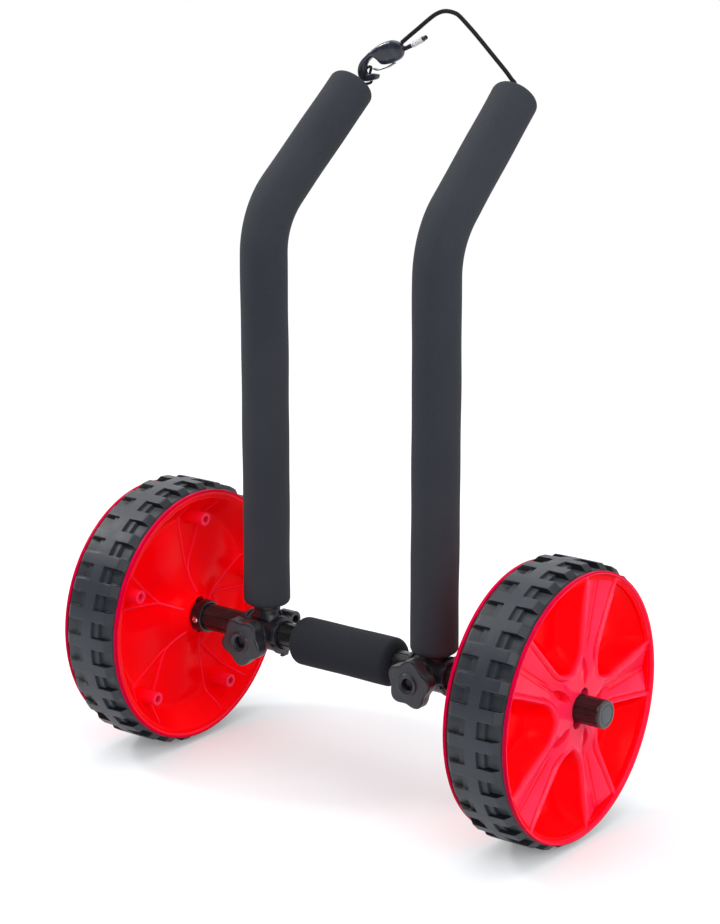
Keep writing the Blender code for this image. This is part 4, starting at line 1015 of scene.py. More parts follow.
@dataclass(frozen=True)
class Studio:
    """The camera at the photograph's place, a pale floor that fades to white, and soft lamps."""

    azimuth: float = 36.597 * DEGREE
    elevation: float = 15.324 * DEGREE
    distance: float = 2459.7 * MM
    target: tuple[float, float, float] = (-34.96 * MM, 56.6 * MM, 162.67 * MM)
    lens: float = 103.636
    film_width: float = 36
    far_clip: float = 100
    lamp_aim: tuple[float, float, float] = (0, 0, 0.25)
    floor_size: float = 60.0
    floor_white: float = 0.16
    floor_fade: tuple[float, float] = (0.5, 3.4)
    ambient: float = 1.08
    floor_tone: Colour = (0.85, 0.885, 0.91)
    floor_bounce: Colour = (0.45, 0.47, 0.5)

    def away(self) -> Array:
        """The unit vector from the cart to the camera."""
        level, rise = math.cos(self.elevation), math.sin(self.elevation)
        return np.array([math.sin(self.azimuth) * level, -math.cos(self.azimuth) * level, rise])

    def set_camera(self) -> None:
        """Makes the camera and looks through it."""
        data = bpy.data.cameras.new("Camera")
        data.lens = self.lens
        data.sensor_width = self.film_width
        data.clip_end = self.far_clip
        camera = linked("Camera", data)
        away = self.away()
        camera.location = AXLE + np.array(self.target) + away * self.distance
        camera.rotation_euler = (-Vector(away)).to_track_quat("-Z", "Y").to_euler()
        bpy.context.scene.camera = camera

    def paint_floor(self, brush: Brush) -> None:
        """A matt floor with a share of plain white for the camera and for reflections.

        Args:
            brush: Makes the nodes.
        """
        seen, glossy, through, bounced = brush.rays("Camera", "Glossy", "Transmission", "Diffuse")
        reach = brush.vector("LENGTH", brush.place())
        clouds = brush.noise(0.7, 2)
        far = (reach + clouds * 1.2 - 0.6).between(*self.floor_fade)
        share = (seen + glossy + through) * (self.floor_white + far * (1 - self.floor_white))
        tone = brush.mix(self.floor_tone, self.floor_bounce, bounced)
        matt = brush.signal("ShaderNodeBsdfDiffuse", inputs={"Color": tone})
        white = brush.signal("ShaderNodeEmission", inputs={"Color": (1, 1, 1, 1), "Strength": 1.0})
        both = brush.signal("ShaderNodeMixShader", inputs={0: share, 1: matt, 2: white})
        brush.node("ShaderNodeOutputMaterial", inputs={"Surface": both})

    def lay_floor(self) -> None:
        """The floor, a wide square."""
        spread = np.array([-0.5, 0.5]) * self.floor_size
        x, y = np.meshgrid(spread, spread, indexing="ij")
        mesh = Skin.grid(np.stack([x, y, 0 * x], axis=-1)).mesh("Floor")
        material = bpy.data.materials.new("Studio floor")
        self.paint_floor(Brush(material))
        mesh.materials.append(material)
        linked("Floor", mesh)

    def light_world(self) -> None:
        """Even light from the world, white where the camera looks, darker on its own side."""
        world = bpy.data.worlds.new("Studio")
        bpy.context.scene.world = world
        brush = Brush(world)
        seen, through, glossy = brush.rays("Camera", "Transmission", "Glossy")
        x, y, z = brush.split(brush.signal("ShaderNodeTexCoord", output="Generated"))
        aside = x * 0.9 + y * 0.1
        low = 1 - z.between(0.45, 0.85)
        behind = (z * 0.7 - x * 0.55 + y * 0.45).between(0.5, 0.95)
        mirrored = aside.between(0.2, 1.0) * low * 0.9 + behind * 1.6 + 0.04
        strength = (seen + through).most(glossy * mirrored + (1 - glossy) * self.ambient)
        light = brush.signal("ShaderNodeBackground", inputs={"Color": (1, 1, 1, 1), "Strength": strength})
        brush.node("ShaderNodeOutputWorld", inputs={"Surface": light})

    def hang_lamp(
        self,
        name: str,
        place: tuple[float, float, float],
        size: tuple[float, float],
        power: float,
    ) -> None:
        """A soft lamp at a place, aimed at the cart.

        Args:
            name: The lamp's name.
            place: Where it hangs.
            size: Its width and height.
            power: Its power in watts.
        """
        data = bpy.data.lights.new(name, "AREA")
        data.shape = "RECTANGLE"
        data.size, data.size_y = size
        data.energy = power
        lamp = linked(name, data)
        lamp.location = place
        aim = Vector(place) - Vector(self.lamp_aim)
        lamp.rotation_euler = aim.to_track_quat("Z", "Y").to_euler()

    def build(self) -> None:
        """Sets the camera, the floor, the world and the lamps."""
        bpy.context.scene.view_settings.view_transform = "Standard"
        self.set_camera()
        self.lay_floor()
        self.light_world()
        self.hang_lamp("Overhead lamp", (0.1, -0.2, 2.6), (2.4, 1.8), 16)
        self.hang_lamp("Left lamp", (-2.3, -0.5, 2.0), (0.5, 0.5), 26)
        self.hang_lamp("Right lamp", (2.6, -0.9, 1.6), (1.4, 1.6), 28)
        log.info("studio is set")


# Axle


@dataclass(frozen=True)
class AxleParts:
    """The fluted tube, its caps, stop collars, snap buttons and foam sleeve."""

    bore_r: float = 9.8 * MM
    flutes: int = 8
    flute_width: float = 2.5 * MM
    flute_depth: float = 0.7 * MM
    tube_bevel: float = 0.4 * MM
    cap_rounding: float = 1.6 * MM
    cap_plug: float = 10 * MM
    cap_groove: float = 0.5 * MM
    collar_width: float = 12 * MM
    collar_r: float = 15.5 * MM
    screw_seat_r: float = 14.3 * MM
    screw_r: float = 3.2 * MM
    screw_shank_r: float = 1.6 * MM
    button_r: float = 3.5 * MM
    button_flange_r: float = 4.6 * MM
    button_stand: float = 3.8 * MM
    button_to_face: float = 3.9 * MM
    spring_arm_y: float = 6.66 * MM
    spring_foot_y: float = -8.16 * MM
    spring_length: float = 22 * MM
    sleeve_left_x: float = -61 * MM
    sleeve_right_x: float = 50 * MM
    foam_r: float = 22.5 * MM
    foam_rounding: float = 6.8 * MM

    @property
    def tube_end(self) -> float:
        """The tube's half length."""
        return CAP_SEAT - SEAT_GAP

    @property
    def button_x(self) -> float:
        """How far out the snap buttons sit."""
        return WHEEL_OUTSIDE + self.button_to_face

    def outline(self, angle: Array) -> Array:
        """The tube's radius by angle: a round land, less a flat-bottomed flute with soft walls.

        The flute's share is 1 within its half width of the flute's middle and 0 outside it.

        Args:
            angle: Angles round the tube.

        Returns:
            The radii.
        """
        pitch = 2 * np.pi / self.flutes
        off = np.abs((angle % pitch) - pitch / 2) * AXLE_R
        half = self.flute_width / 2
        return AXLE_R - self.flute_depth * (1 - stepped(off, half - 0.35 * MM, half + 0.15 * MM))

    def build_tube(self) -> None:
        """The fluted tube with a hole for each snap button."""
        pitch = 2 * np.pi / self.flutes
        rest = np.linspace(0.64, 1, 8)[:-1]
        steps = np.concatenate([np.linspace(0, 0.36, 8), np.linspace(0.38, 0.62, 17), rest])
        angle = (np.arange(self.flutes)[:, None] + steps[None]).ravel() * pitch
        radius = self.outline(angle)
        half, bevel = self.tube_end, self.tube_bevel
        rows = [
            (radius - bevel, -half),
            (radius, bevel - half),
            (radius, half - bevel),
            (radius - bevel, half),
            (self.bore_r, half),
            (self.bore_r, -half),
        ]
        points = np.array([circled_x(r, x, angle) for r, x in rows])
        body = Skin.grid(points, around=True, closed=True).moved(AT_AXLE)
        hole = rod(self.button_r + SEAT_GAP, 0, CUT_REACH, 32)
        cuts = [hole.moved(side.out(self.button_x) @ TO_BACK) for side in Side]
        finished(carved("axle_tube", [body], cuts), "axle_tube", TUBE, "axle", sharp=30)

    def build_caps(self) -> None:
        """Plugs with a rounded head and a shallow groove round the face."""
        head_r = AXLE_R - 0.1 * MM
        plug_r = self.bore_r - 0.5 * MM
        face, groove = CAP_HEAD, self.cap_groove
        profile = [
            (0, -self.cap_plug),
            (plug_r, -self.cap_plug),
            (plug_r, 0),
            (head_r, 0),
            (head_r, face),
            (9.4 * MM, face),
            (9.2 * MM, face - groove),
            (8.4 * MM, face - groove),
            (8.2 * MM, face),
            (0, face),
        ]
        radii = np.array([0, 0.8, 0.1, 0.3, self.cap_rounding / MM, 0.2, 0.2, 0.2, 0.2, 0]) * MM
        head = lathe(rounded(profile, radii, 5), 64)
        for side in Side:
            head.moved(side.out(CAP_SEAT) @ side.outwards).build(f"end_cap_{side.label}", CAP, "axle")

    def build_collars(self) -> None:
        """Stop collars with a chamfered ring and a counterbored screw in front."""
        bore = AXLE_R + SEAT_GAP
        width = self.collar_width
        profile = [(bore, 0), (self.collar_r, 0), (self.collar_r, width), (bore, width)]
        radii = np.array([0.4, 1.2, 1.2, 0.4]) * MM
        ring = lathe(rounded(profile, radii, 5, closed=True), 96, closed=True)
        narrow_r, wide_r = self.screw_shank_r + SEAT_GAP, self.screw_r + SEAT_GAP
        narrow = [(0, 5 * MM), (narrow_r, 5 * MM), (narrow_r, self.screw_seat_r)]
        wide = [(wide_r, self.screw_seat_r), (wide_r, CUT_REACH), (0, CUT_REACH)]
        hole = lathe(narrow + wide, 32)
        for side in Side:
            start = side.out(WHEEL_INSIDE) @ side.inwards
            middle = side.out(WHEEL_INSIDE - width / 2) @ TO_FRONT
            name = f"stop_collar_{side.label}"
            finished(carved(name, [ring.moved(start)], [hole.moved(middle)]), name, SATIN, "axle")
            self.screw().moved(middle).build(f"collar_screw_{side.label}", STEEL, "axle")

    def screw(self) -> Skin:
        """A pan-head screw along Z whose head has a cross recess.

        The head's height at (x, y) is a dome 1 - r^2 less a cross that is deep within a slot's
        half width of either axis and runs out at a slot's length.

        Returns:
            The screw, with its foot towards the axle.
        """
        foot, seat = AXLE_R + SEAT_GAP, self.screw_seat_r + SEAT_GAP
        radius = np.linspace(0, self.screw_r, 26)[:, None]
        angle = full_turn(96)
        x, y = radius * np.cos(angle), radius * np.sin(angle)
        dome = 1.2 * MM + 0.8 * MM * (1 - (radius / self.screw_r) ** 2) + 0 * angle
        narrow = np.minimum(np.abs(x), np.abs(y))
        cross = (1 - stepped(narrow, 0.28 * MM, 0.5 * MM)) * (1 - stepped(radius, 1.5 * MM, 2.1 * MM))
        top = np.stack([x, y, seat + dome - 1.1 * MM * cross], axis=-1)
        neck = [(self.screw_r, seat), (self.screw_shank_r, seat), (self.screw_shank_r, foot), (0, foot)]
        return Skin.grid(np.concatenate([top, [circled(r, h, angle) for r, h in neck]]), around=True)

    def build_buttons(self) -> None:
        """Spring buttons with a domed head."""
        flange_r = self.button_flange_r
        shoulder = math.sqrt(self.bore_r**2 - flange_r**2) - 0.4 * MM
        top = AXLE_R + self.button_stand
        profile = [
            (0, shoulder - 1 * MM),
            (flange_r, shoulder - 1 * MM),
            (flange_r, shoulder),
            (self.button_r, shoulder),
            (self.button_r, top - 0.4 * MM),
            (0, top),
        ]
        radii = np.array([0, 0.3, 0.3, 0.2, 2.6, 0]) * MM
        head = lathe(rounded(profile, radii, 6), 40)
        for side in Side:
            skin = head.moved(side.out(self.button_x) @ TO_BACK)
            skin.build(f"snap_button_{side.label}", STEEL, f"button_{side.label}")

    def build_springs(self) -> None:
        """A leaf spring behind each button: an arm, a half-turn bend and a foot on the bore.
        """
        arm, foot = self.spring_arm_y, self.spring_foot_y
        bend_r, middle = (arm - foot) / 2, (arm + foot) / 2
        turn = np.pi * np.arange(17) / 16
        bend_x = -self.spring_length - bend_r * np.sin(turn)
        bend = np.stack([bend_x, middle + bend_r * np.cos(turn)], axis=1)
        line = np.concatenate([[(self.button_flange_r, arm)], bend, [(0, foot)]])
        section = strip(7, 0.6, 0.25, 3)
        for side in Side:
            x = side.value * (self.button_x + line[:, 0])
            path = AXLE + np.stack([x, line[:, 1], 0 * x], axis=1)
            skin = Skin.grid(solid(swept(path, section, (0, 0, 1)), 0.1 * MM), around=True)
            spring = skin.build(f"button_spring_{side.label}", STEEL, "axle", sharp=60)
            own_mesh(spring)

    def build_sleeve(self) -> None:
        """The foam sleeve between the brackets, with rounded ends."""
        ends = self.sleeve_left_x, self.sleeve_right_x
        along, radius, angle = foam_wall(ends, self.foam_r, self.foam_rounding, AXLE_R + SEAT_GAP, 8 * MM)
        skin = Skin.grid(circled_x(radius, along, angle), around=True, closed=True).moved(AT_AXLE)
        sleeve = skin.build("centre_sleeve", DARK_FOAM, "axle", sharp=60)

    def build(self) -> None:
        """Builds every part of the axle."""
        self.build_tube()
        self.build_caps()
        self.build_collars()
        self.build_buttons()
        self.build_springs()
        self.build_sleeve()


def foam_wall(
    ends: tuple[float, float],
    outer_r: float,
    rounding: float,
    bore_r: float,
    step: float,
) -> tuple[Array, Array, Array]:
    """The closed wall of a foam tube, ring by ring, with the unevenness of extruded foam.

    Each end is a quarter circle from the bore out to the full radius. The unevenness is three
    slow waves over length and angle.

    Args:
        ends: Where the tube starts and ends.
        outer_r: Its outer radius.
        rounding: The radius of its rounded ends.
        bore_r: The radius of its bore.
        step: The distance between rings along it.

    Returns:
        The rings' places along the tube, every point's radius, and the angles.
    """
    start, end = ends
    quarter = np.linspace(0, np.pi / 2, 9)
    inset = rounding * (1 - np.cos(quarter))
    rise = outer_r - rounding * (1 - np.sin(quarter))
    count = max(2, round((end - start - 2 * rounding) / step))
    middle = np.linspace(start + rounding, end - rounding, count + 1)[1:-1]
    bore = np.linspace(end, start, count)
    along = np.concatenate([start + inset, middle, end - inset[::-1], bore])[:, None]
    radius = np.concatenate([rise, outer_r + 0 * middle, rise[::-1], bore_r + 0 * bore])[:, None]
    angle = full_turn(72)
    slow = np.sin(along * 47 + 2 * np.cos(angle)) + np.sin(along * 83 - 1.7 * np.sin(2 * angle))
    waves = 0.12 * MM * (slow + np.cos(3 * angle + along * 21)) * (radius > bore_r + 0.5 * MM)
    return along, radius + waves, angle


# Wheels: their own axes have +X out of the wheel's outer face, with a spoke along +Y


@dataclass(frozen=True)
class Wheel:
    """One wheel: a lugged tyre on a rim of two dished shells."""

    side: Side
    tyre_r: float = 127 * MM
    rim_r: float = 121 * MM
    lip: float = 3 * MM
    lip_thickness: float = 3.5 * MM
    barrel_r: float = 113.7 * MM
    barrel_wall: float = 3.2 * MM
    spokes: int = 5
    hub_drop: float = 2.5 * MM
    bore_r: float = AXLE_R + 0.4 * MM
    hub_r: float = 19.5 * MM
    hub_joint: float = -15 * MM
    notch_r: float = 6 * MM
    notch_centre_r: float = 12.3 * MM
    notch_angle: float = 62 * DEGREE
    lugs: int = 30
    lug_share: float = 0.45
    tread_edge: float = 6.8 * MM
    petal_depth: float = 20 * MM
    valley_depth: float = 6.5 * MM
    pocket_depth: float = 8 * MM
    web: float = 23 * MM
    dish_depth: float = 22 * MM
    hub_lift: float = 0.4 * MM
    post_circle_r: float = 92.4 * MM

    def rest(self, rim: bool = True) -> Array:
        """The matrix from the wheel's own axes to the frame's.

        Args:
            rim: Whether to turn the wheel to its photographed place.

        Returns:
            The matrix.
        """
        facing = turned(0 if self.side is Side.RIGHT else math.pi, "Z")
        place = self.side.out(TRACK / 2) @ facing
        return place @ turned(self.side.wheel_turn, "X") if rim else place

    # Tyre

    def tread_depth(self, x: Array, lug: Array) -> Array:
        """How far the tread lies below the tyre's radius.

        A lug is flat to 21.5 mm and then bevels down 5 mm to a low shoulder beside the rim's lip.
        Between two lugs the floor is level with the centre band, then one step down, and then a
        deep groove.

        Args:
            x: Distance from the tyre's middle plane, in metres.
            lug: 1 on a lug and 0 between two.

        Returns:
            The depth, in metres.
        """
        out = np.abs(x) / MM
        edge = self.tread_edge / MM
        lug_steps = [0, 6, 20.8, 21.6, 22.4, 26.6, 27.6, 28.2]
        lug_depth = np.interp(out, lug_steps, [0, 0, 0.15, 0.35, 1.1, 5, 6.5, edge])
        groove_steps = [0, 5.75, 6.25, 12.7, 13.3, 26.4, 27.6, 28.2]
        groove_depth = np.interp(out, groove_steps, [0, 0.1, 2.6, 2.8, 5.4, 5.6, 6.5, edge])
        return (lug * lug_depth + (1 - lug) * groove_depth) * MM

    def build_tyre(self) -> None:
        """The tyre: rows across the tread, columns that follow the walls of the lugs."""
        rise = self.lug_share / 2 + np.array([-0.05, -0.028, -0.014, -0.005, 0.004, 0.012, 0.03])
        shares = [1, 0.99, 0.95, 0.72, 0.28, 0.05, 0]
        inside = np.linspace(-rise[0], rise[0], 5)[1:-1]
        outside = np.linspace(rise[-1], 1 - rise[-1], 7)[1:-1]
        spots = np.concatenate([-rise[::-1], inside, rise, outside])
        lug = np.concatenate([shares[::-1], np.ones(3), shares, np.zeros(5)])
        pitch = 2 * np.pi / self.lugs
        angle = ((np.arange(self.lugs)[:, None] + spots[None]) * pitch).ravel()
        lug = np.tile(lug, self.lugs)
        out = [0, 2, 4, 5.7, 6, 6.3, 8, 10.5, 12.6, 13, 13.4, 16, 19, 20.8, 21.2, 21.6, 22.4, 24.5, 26.2]
        out = np.array([*out, 26.6, 27.1, 27.6, 28.2]) * MM
        x = np.concatenate([-out[:0:-1], out])[:, None]
        radius = self.tyre_r - self.tread_depth(x, lug[None])
        bore = self.barrel_r + 0.5 * MM
        wall = np.linspace(self.tyre_r - self.tread_edge, bore, 4)[1:, None] + 0 * lug[None]
        radius = np.concatenate([wall[::-1], radius, wall])
        x = np.concatenate([x[:1].repeat(3, 0), x, x[-1:].repeat(3, 0)])
        skin = Skin.grid(circled_x(radius, x, angle), around=True, closed=True).moved(self.rest(rim=False))
        skin.build(f"tyre_{self.side.label}", TYRE, f"wheel_{self.side.label}", sharp=30)

    # Rim

    def all_round(self, half: Array) -> Array:
        """Half a sector's angles, mirrored at its middle and repeated for each spoke.

        Args:
            half: The angles from a spoke's line to the middle between two, row by row.

        Returns:
            Rows by columns.
        """
        middle = np.pi / self.spokes
        sector = np.concatenate([half, 2 * middle - half[:, -2:0:-1]], axis=1)
        starts = np.arange(self.spokes) * 2 * middle
        return (sector[:, None] + starts[None, :, None]).reshape(len(half), -1)

    def shell(
        self,
        hub: Sequence,
        radii: Array,
        face: Array,
        angle: Array,
        rim: Array,
        second: Array,
    ) -> Skin:
        """A closed shell: rings up the hub's bore, over the face, and round the back to the bore.

        Args:
            hub: The bore's rings, as (radius, x), on the angles of the face's first ring.
            radii: The radius of each ring of the face.
            face: X of the face, rings by columns.
            angle: The face's angles, rings by columns.
            rim: The section from the end of the face to the hub joint, as (radius, x).
            second: The pattern's second coordinate of every point.

        Returns:
            The shell, in the wheel's own axes.
        """
        rows = [circled_x(r, x, angle[0]) for r, x in hub]
        rows += [circled_x(r, x, a) for r, x, a in zip(radii, face, angle)]
        rows += [circled_x(r, x, angle[-1]) for r, x in rim[1:]]
        return Skin.grid(np.array(rows), around=True, closed=True, second=second)

    def sector_columns(self, edge: Array, inner: int, outer: int) -> Array:
        """Angles of a whole ring whose columns follow the two edges of each spoke.

        In half a sector the angles go from 0 to the edge in even steps, and on to the middle
        between two spokes in steps that widen.

        Args:
            edge: The angle of the spoke's edge, one for each row.
            inner: Steps from the spoke's line to its edge.
            outer: Steps from the edge to the middle between two spokes.

        Returns:
            Rows by columns.
        """
        share = np.linspace(0, 1, inner + 1)[None]
        rest = (np.arange(1, outer + 1) / outer)[None] ** 1.35
        edge = edge[:, None]
        beyond = edge + (np.pi / self.spokes - edge) * rest
        return self.all_round(np.concatenate([edge * share, beyond], axis=1))

    def from_spoke(self, angle: Array) -> Array:
        """The angle from the nearest spoke's line."""
        pitch = 2 * np.pi / self.spokes
        return np.abs((angle + pitch / 2) % pitch - pitch / 2)

    def bore_edge(self, angle: Array) -> Array:
        """The radius of the hub's bore: a circle with two round notches.

        Along a ray at d from a notch's middle, the notch reaches c cos d + sqrt(r^2 - (c sin d)^2).

        Args:
            angle: Angles round the axle.

        Returns:
            The radii.
        """
        off = (angle - self.notch_angle + np.pi / 2) % np.pi - np.pi / 2
        inside = self.notch_r**2 - (self.notch_centre_r * np.sin(off)) ** 2
        reach = self.notch_centre_r * np.cos(off) + np.sqrt(np.maximum(inside, 0))
        return np.where(inside > 0, np.maximum(reach, self.bore_r), self.bore_r)

    def spoke_half_width(self, radius: Array) -> Array:
        """Half the width of a spoke: 20 mm at 38 mm from the axle, up to 49 mm at the rim."""
        return (20 * MM + (radius - 38 * MM) * 29 / 74) / 2

    def petal_distance(self, radius: Array, across: Array) -> Array:
        """How far inside a petal a point lies, in metres, and less than 0 on a spoke.

        It is the nearer of the distances a from the spoke's edge and b from the petal's hub
        end, with the corner between them rounded: c - sqrt((c-a)^2 + (c-b)^2).

        Args:
            radius: Distance from the axle.
            across: Distance along the arc from the spoke's line.

        Returns:
            The distance in metres.
        """
        a = across - self.spoke_half_width(radius)
        b = (radius - 35 * MM) * 0.65
        corner = 17 * MM
        u, v = np.maximum(corner - a, 0), np.maximum(corner - b, 0)
        return np.where(u + v > 0, corner - np.hypot(u, v), np.minimum(a, b))

    def outer_face(self, radius: Array, angle: Array) -> tuple[Array, Array]:
        """X of the outer shell's face, and its share of painted sheen for the finish.

        A spoke is a V with a rib along it. A bead runs round each petal's edge, with a thin line
        beside it. A petal sinks by the sine ease of its distance from its edge and of the
        distance from the lip. A leaf shaped pocket is sunk into the foot of each spoke.

        Args:
            radius: Distance from the axle.
            angle: Angle round the axle.

        Returns:
            X, and the share of painted sheen, from 0 in a petal to 1 on a spoke.
        """
        across = radius * self.from_spoke(angle)
        share = np.clip(across / self.spoke_half_width(radius), 0, 1)
        inside = self.petal_distance(radius, across)
        soft = 0.04
        crease = np.sqrt(share**2 + soft**2) - soft
        valley = self.valley_depth * stepped(radius, 22 * MM, 50 * MM) * (1 - np.clip(crease, 0, 1))
        fade = (1 - stepped(radius, 109 * MM, 117 * MM)) * stepped(radius, 29 * MM, 37 * MM)
        on_spoke = stepped(radius, 46 * MM, 62 * MM)
        bead = 0.9 * MM * bell(inside + 0.9 * MM, 1.1 * MM)
        line = bell(inside + 3.7 * MM, 1 * MM) * stepped(radius, 36 * MM, 46 * MM)
        rib = bell(across, 0.9 * MM) * on_spoke
        # A dark line along each flank of the rib, with no relief of its own: painted shade.
        flank_shade = bell(across - 2.4 * MM, 0.8 * MM) * on_spoke
        petal = eased(inside / (17 * MM)) * eased((self.rim_r - self.lip - radius) / (32 * MM))
        sheen_share = 1 - stepped(inside, -0.4 * MM, 2.6 * MM)
        pocket = self.pocket(radius, across)
        relief = bead - line * MM + 0.8 * MM * rib
        sunk = valley + self.petal_depth * petal + self.pocket_depth * pocket
        # Painted sheen, stronger towards a spoke's middle and on the lip, less painted shade in the thin
        # lines, along the rib's flanks and in the pockets, and a painted highlight on the rib.
        sheen_share = np.maximum(sheen_share * (0.72 + 0.28 * share), stepped(radius, 116.5 * MM, 117.8 * MM) * 0.8)
        shade = (1 - 0.85 * line) * (1 - 0.8 * flank_shade) * (1 - 0.5 * pocket)
        return WHEEL_WIDTH / 2 - self.hub_drop - sunk + relief * fade, sheen_share * shade + 0.25 * rib

    def pocket(self, radius: Array, across: Array) -> Array:
        """1 in the leaf shaped pocket, an ellipse of 20 by 7.6 mm with its middle 33 mm out."""
        width = 3.8 * MM * np.sqrt(np.clip(1 - ((radius - 33 * MM) / (10 * MM)) ** 2, 0, 1))
        return stepped(width - across, -0.25 * MM, 0.9 * MM)

    def build_outer(self) -> None:
        """The outer shell: dished face, lip, barrel and the hub tube behind the face."""
        lip_r = self.rim_r - self.lip
        outer_x = WHEEL_WIDTH / 2
        radii = np.concatenate([
            np.linspace(19, 27, 6),
            np.linspace(27.6, 62, 60),
            np.linspace(63.2, 104, 34),
            np.linspace(105, lip_r / MM, 14),
        ]) * MM
        edge = np.minimum(self.spoke_half_width(radii) / radii, 0.5 * np.pi / self.spokes)
        angle = self.sector_columns(edge, 22, 17)
        face, sheen_share = self.outer_face(radii[:, None], angle)
        bore = self.bore_edge(angle[0])
        plane = outer_x - self.hub_drop
        step = 0.7 * MM
        hub = [
            (bore, self.hub_joint),
            (bore, plane - step),
            (bore + 0.3 * step, plane - 0.3 * step),
            (bore + step, plane),
            ((bore + step + radii[0]) / 2, plane),
        ]
        barrel_in = self.barrel_r - self.barrel_wall
        section = [
            (lip_r, plane),
            (lip_r + 0.4 * MM, outer_x),
            (self.rim_r, outer_x),
            (self.rim_r, outer_x - self.lip_thickness),
            (self.barrel_r, outer_x - self.lip_thickness),
            (self.barrel_r, -outer_x + 7.2 * MM),
            (barrel_in, -outer_x + 7.2 * MM),
            (barrel_in, plane - self.web),
            (self.hub_r, plane - self.web),
            (self.hub_r, self.hub_joint),
        ]
        rim = rounded(section, np.array([0, 1.1, 1.1, 0.5, 0.4, 0.6, 0.6, 3, 3, 0]) * MM)
        # Painted sheen: 0.6 on the lip's face, 0.1 behind it and 0.9 round the hub; -1 paints shade in dark
        # red on the lip's outer edge, beside the tyre.
        lip = np.where(rim[1:, 1:] > plane, 0.6, 0.1)
        lip = np.where(rim[1:, :1] > self.rim_r - 1.15 * MM, -1, lip) + 0 * sheen_share[:1]
        second = np.concatenate([0.9 + 0 * sheen_share[: len(hub)], sheen_share, lip])
        skin = self.shell(hub, radii, face, angle, rim, second).moved(self.rest())
        skin.build(f"rim_outer_{self.side.label}", RED, f"wheel_{self.side.label}", sharp=50)

    def ridge_half_width(self, radius: Array) -> Array:
        """Half the opening of a Y ridge: closed to 40 mm, and then 19 mm by 100 mm out."""
        return np.maximum(0.3 * MM, (radius - 40 * MM) * 19 / 60)

    def dish(self) -> Array:
        """The dish's section as (radius, x): hub, soft cone, floor and sloping wall.

        Returns:
            The section's points.
        """
        outer = -WHEEL_WIDTH / 2
        floor = outer + self.dish_depth
        corners = [
            (17.5 * MM, outer + self.hub_lift),
            (22 * MM, outer + 8 * MM),
            (42 * MM, floor),
            (94 * MM, floor),
            (113 * MM, outer + 1.1 * MM),
        ]
        return rounded(corners, np.array([0, 7, 14, 6, 0]) * MM, 8)

    def inner_face(self, radius: Array, angle: Array) -> tuple[Array, Array]:
        """X of the inner shell's dish, and its share of painted sheen for the finish.

        A thin ridge runs along the stem and both arms of a Y on each spoke's line, up to the
        lip. The V between its arms is a little lower, and each panel between two Ys bulges by
        5 mm, as the sine of its place across and along.

        Args:
            radius: Distance from the axle.
            angle: Angle round the axle.

        Returns:
            X, and the share of painted sheen, from 0 on a panel to 1 on a ridge.
        """
        across = radius * self.from_spoke(angle)
        half = self.ridge_half_width(radius)
        share = np.clip((radius - 30 * MM) / (64 * MM), 0, 1)
        span = radius * np.pi / self.spokes - half
        place = np.clip((across - half - 1 * MM) / np.maximum(span, 1e-6), 0, 1)
        bulge = 5 * MM * np.sin(np.pi * share) ** 0.8 * eased(place) ** 1.3
        ridge = bell(across - half, 0.75 * MM)
        ridge = ridge * stepped(radius, 19.5 * MM, 22 * MM) * (1 - stepped(radius, 107 * MM, 112 * MM))
        low = 1.2 * MM * (1 - stepped(across, half - 1.5 * MM, half)) * stepped(radius, 44 * MM, 60 * MM)
        low = low * (1 - stepped(radius, 88 * MM, 100 * MM))
        face = np.interp(radius, *self.dish().T) - bulge - 1.3 * MM * ridge + low
        # The ridges get a painted highlight, and the bulging panels a little painted sheen.
        return face, ridge * 0.75 + 0.02 * bulge / MM

    def build_inner(self) -> None:
        """The inner shell: hub, dish, lip and spigot, with five hollow screw posts."""
        outer_x = WHEEL_WIDTH / 2
        hub_face = -outer_x + self.hub_lift
        floor = -outer_x + self.dish_depth
        radii = np.concatenate([
            np.linspace(17.5, 19.9, 8),
            np.linspace(20.5, 44, 30),
            np.linspace(45.3, 90, 34),
            np.linspace(91, 113, 26),
        ]) * MM
        edge = np.minimum(self.ridge_half_width(radii) / radii, 0.6 * np.pi / self.spokes)
        angle = self.inner_columns(edge, radii)
        face, sheen_share = self.inner_face(radii[:, None], angle)
        bore = self.bore_edge(angle[0])
        joint = self.hub_joint - SEAT_GAP
        hub = [(bore, joint), (bore, hub_face + 0.5 * MM), (bore + 0.3 * MM, hub_face)]
        spigot_r = self.barrel_r - self.barrel_wall - 0.5 * MM
        section = [
            (113 * MM, -outer_x + 1.1 * MM),
            (116.4 * MM, -outer_x + 1 * MM),
            (117.2 * MM, -outer_x),
            (self.rim_r, -outer_x),
            (self.rim_r, -outer_x + self.lip_thickness),
            (self.barrel_r + 0.2 * MM, -outer_x + self.lip_thickness),
            (spigot_r, -outer_x + 6.9 * MM),
            (spigot_r, -outer_x + 13 * MM),
            (92 * MM, floor + 3 * MM),
            (34 * MM, floor + 3 * MM),
            (self.hub_r, joint),
        ]
        rim = rounded(section, np.array([0, 0.3, 0.6, 1.2, 0.6, 0.3, 0.3, 1, 2, 2, 0]) * MM, 5)
        # Painted sheen: 0.5 on the lip's face and 0.3 round the hub; -1 paints shade in dark red on the
        # lip's outer edge.
        lip = np.where(rim[1:, 1:] < 0.9 * MM - outer_x, 0.5, 0)
        lip = np.where(rim[1:, :1] > self.rim_r - 2.4 * MM, -1, lip) + 0 * sheen_share[:1]
        second = np.concatenate([0.3 + 0 * sheen_share[: len(hub)], sheen_share, lip])
        base = self.shell(hub, radii, face, angle, rim, second).moved(self.rest())
        name = f"rim_inner_{self.side.label}"
        mesh = carved(name, [base, self.posts(-floor - 2 * MM, outer_x - 0.6 * MM).moved(self.rest())])
        finished(mesh, name, RED, f"wheel_{self.side.label}", sharp=50)

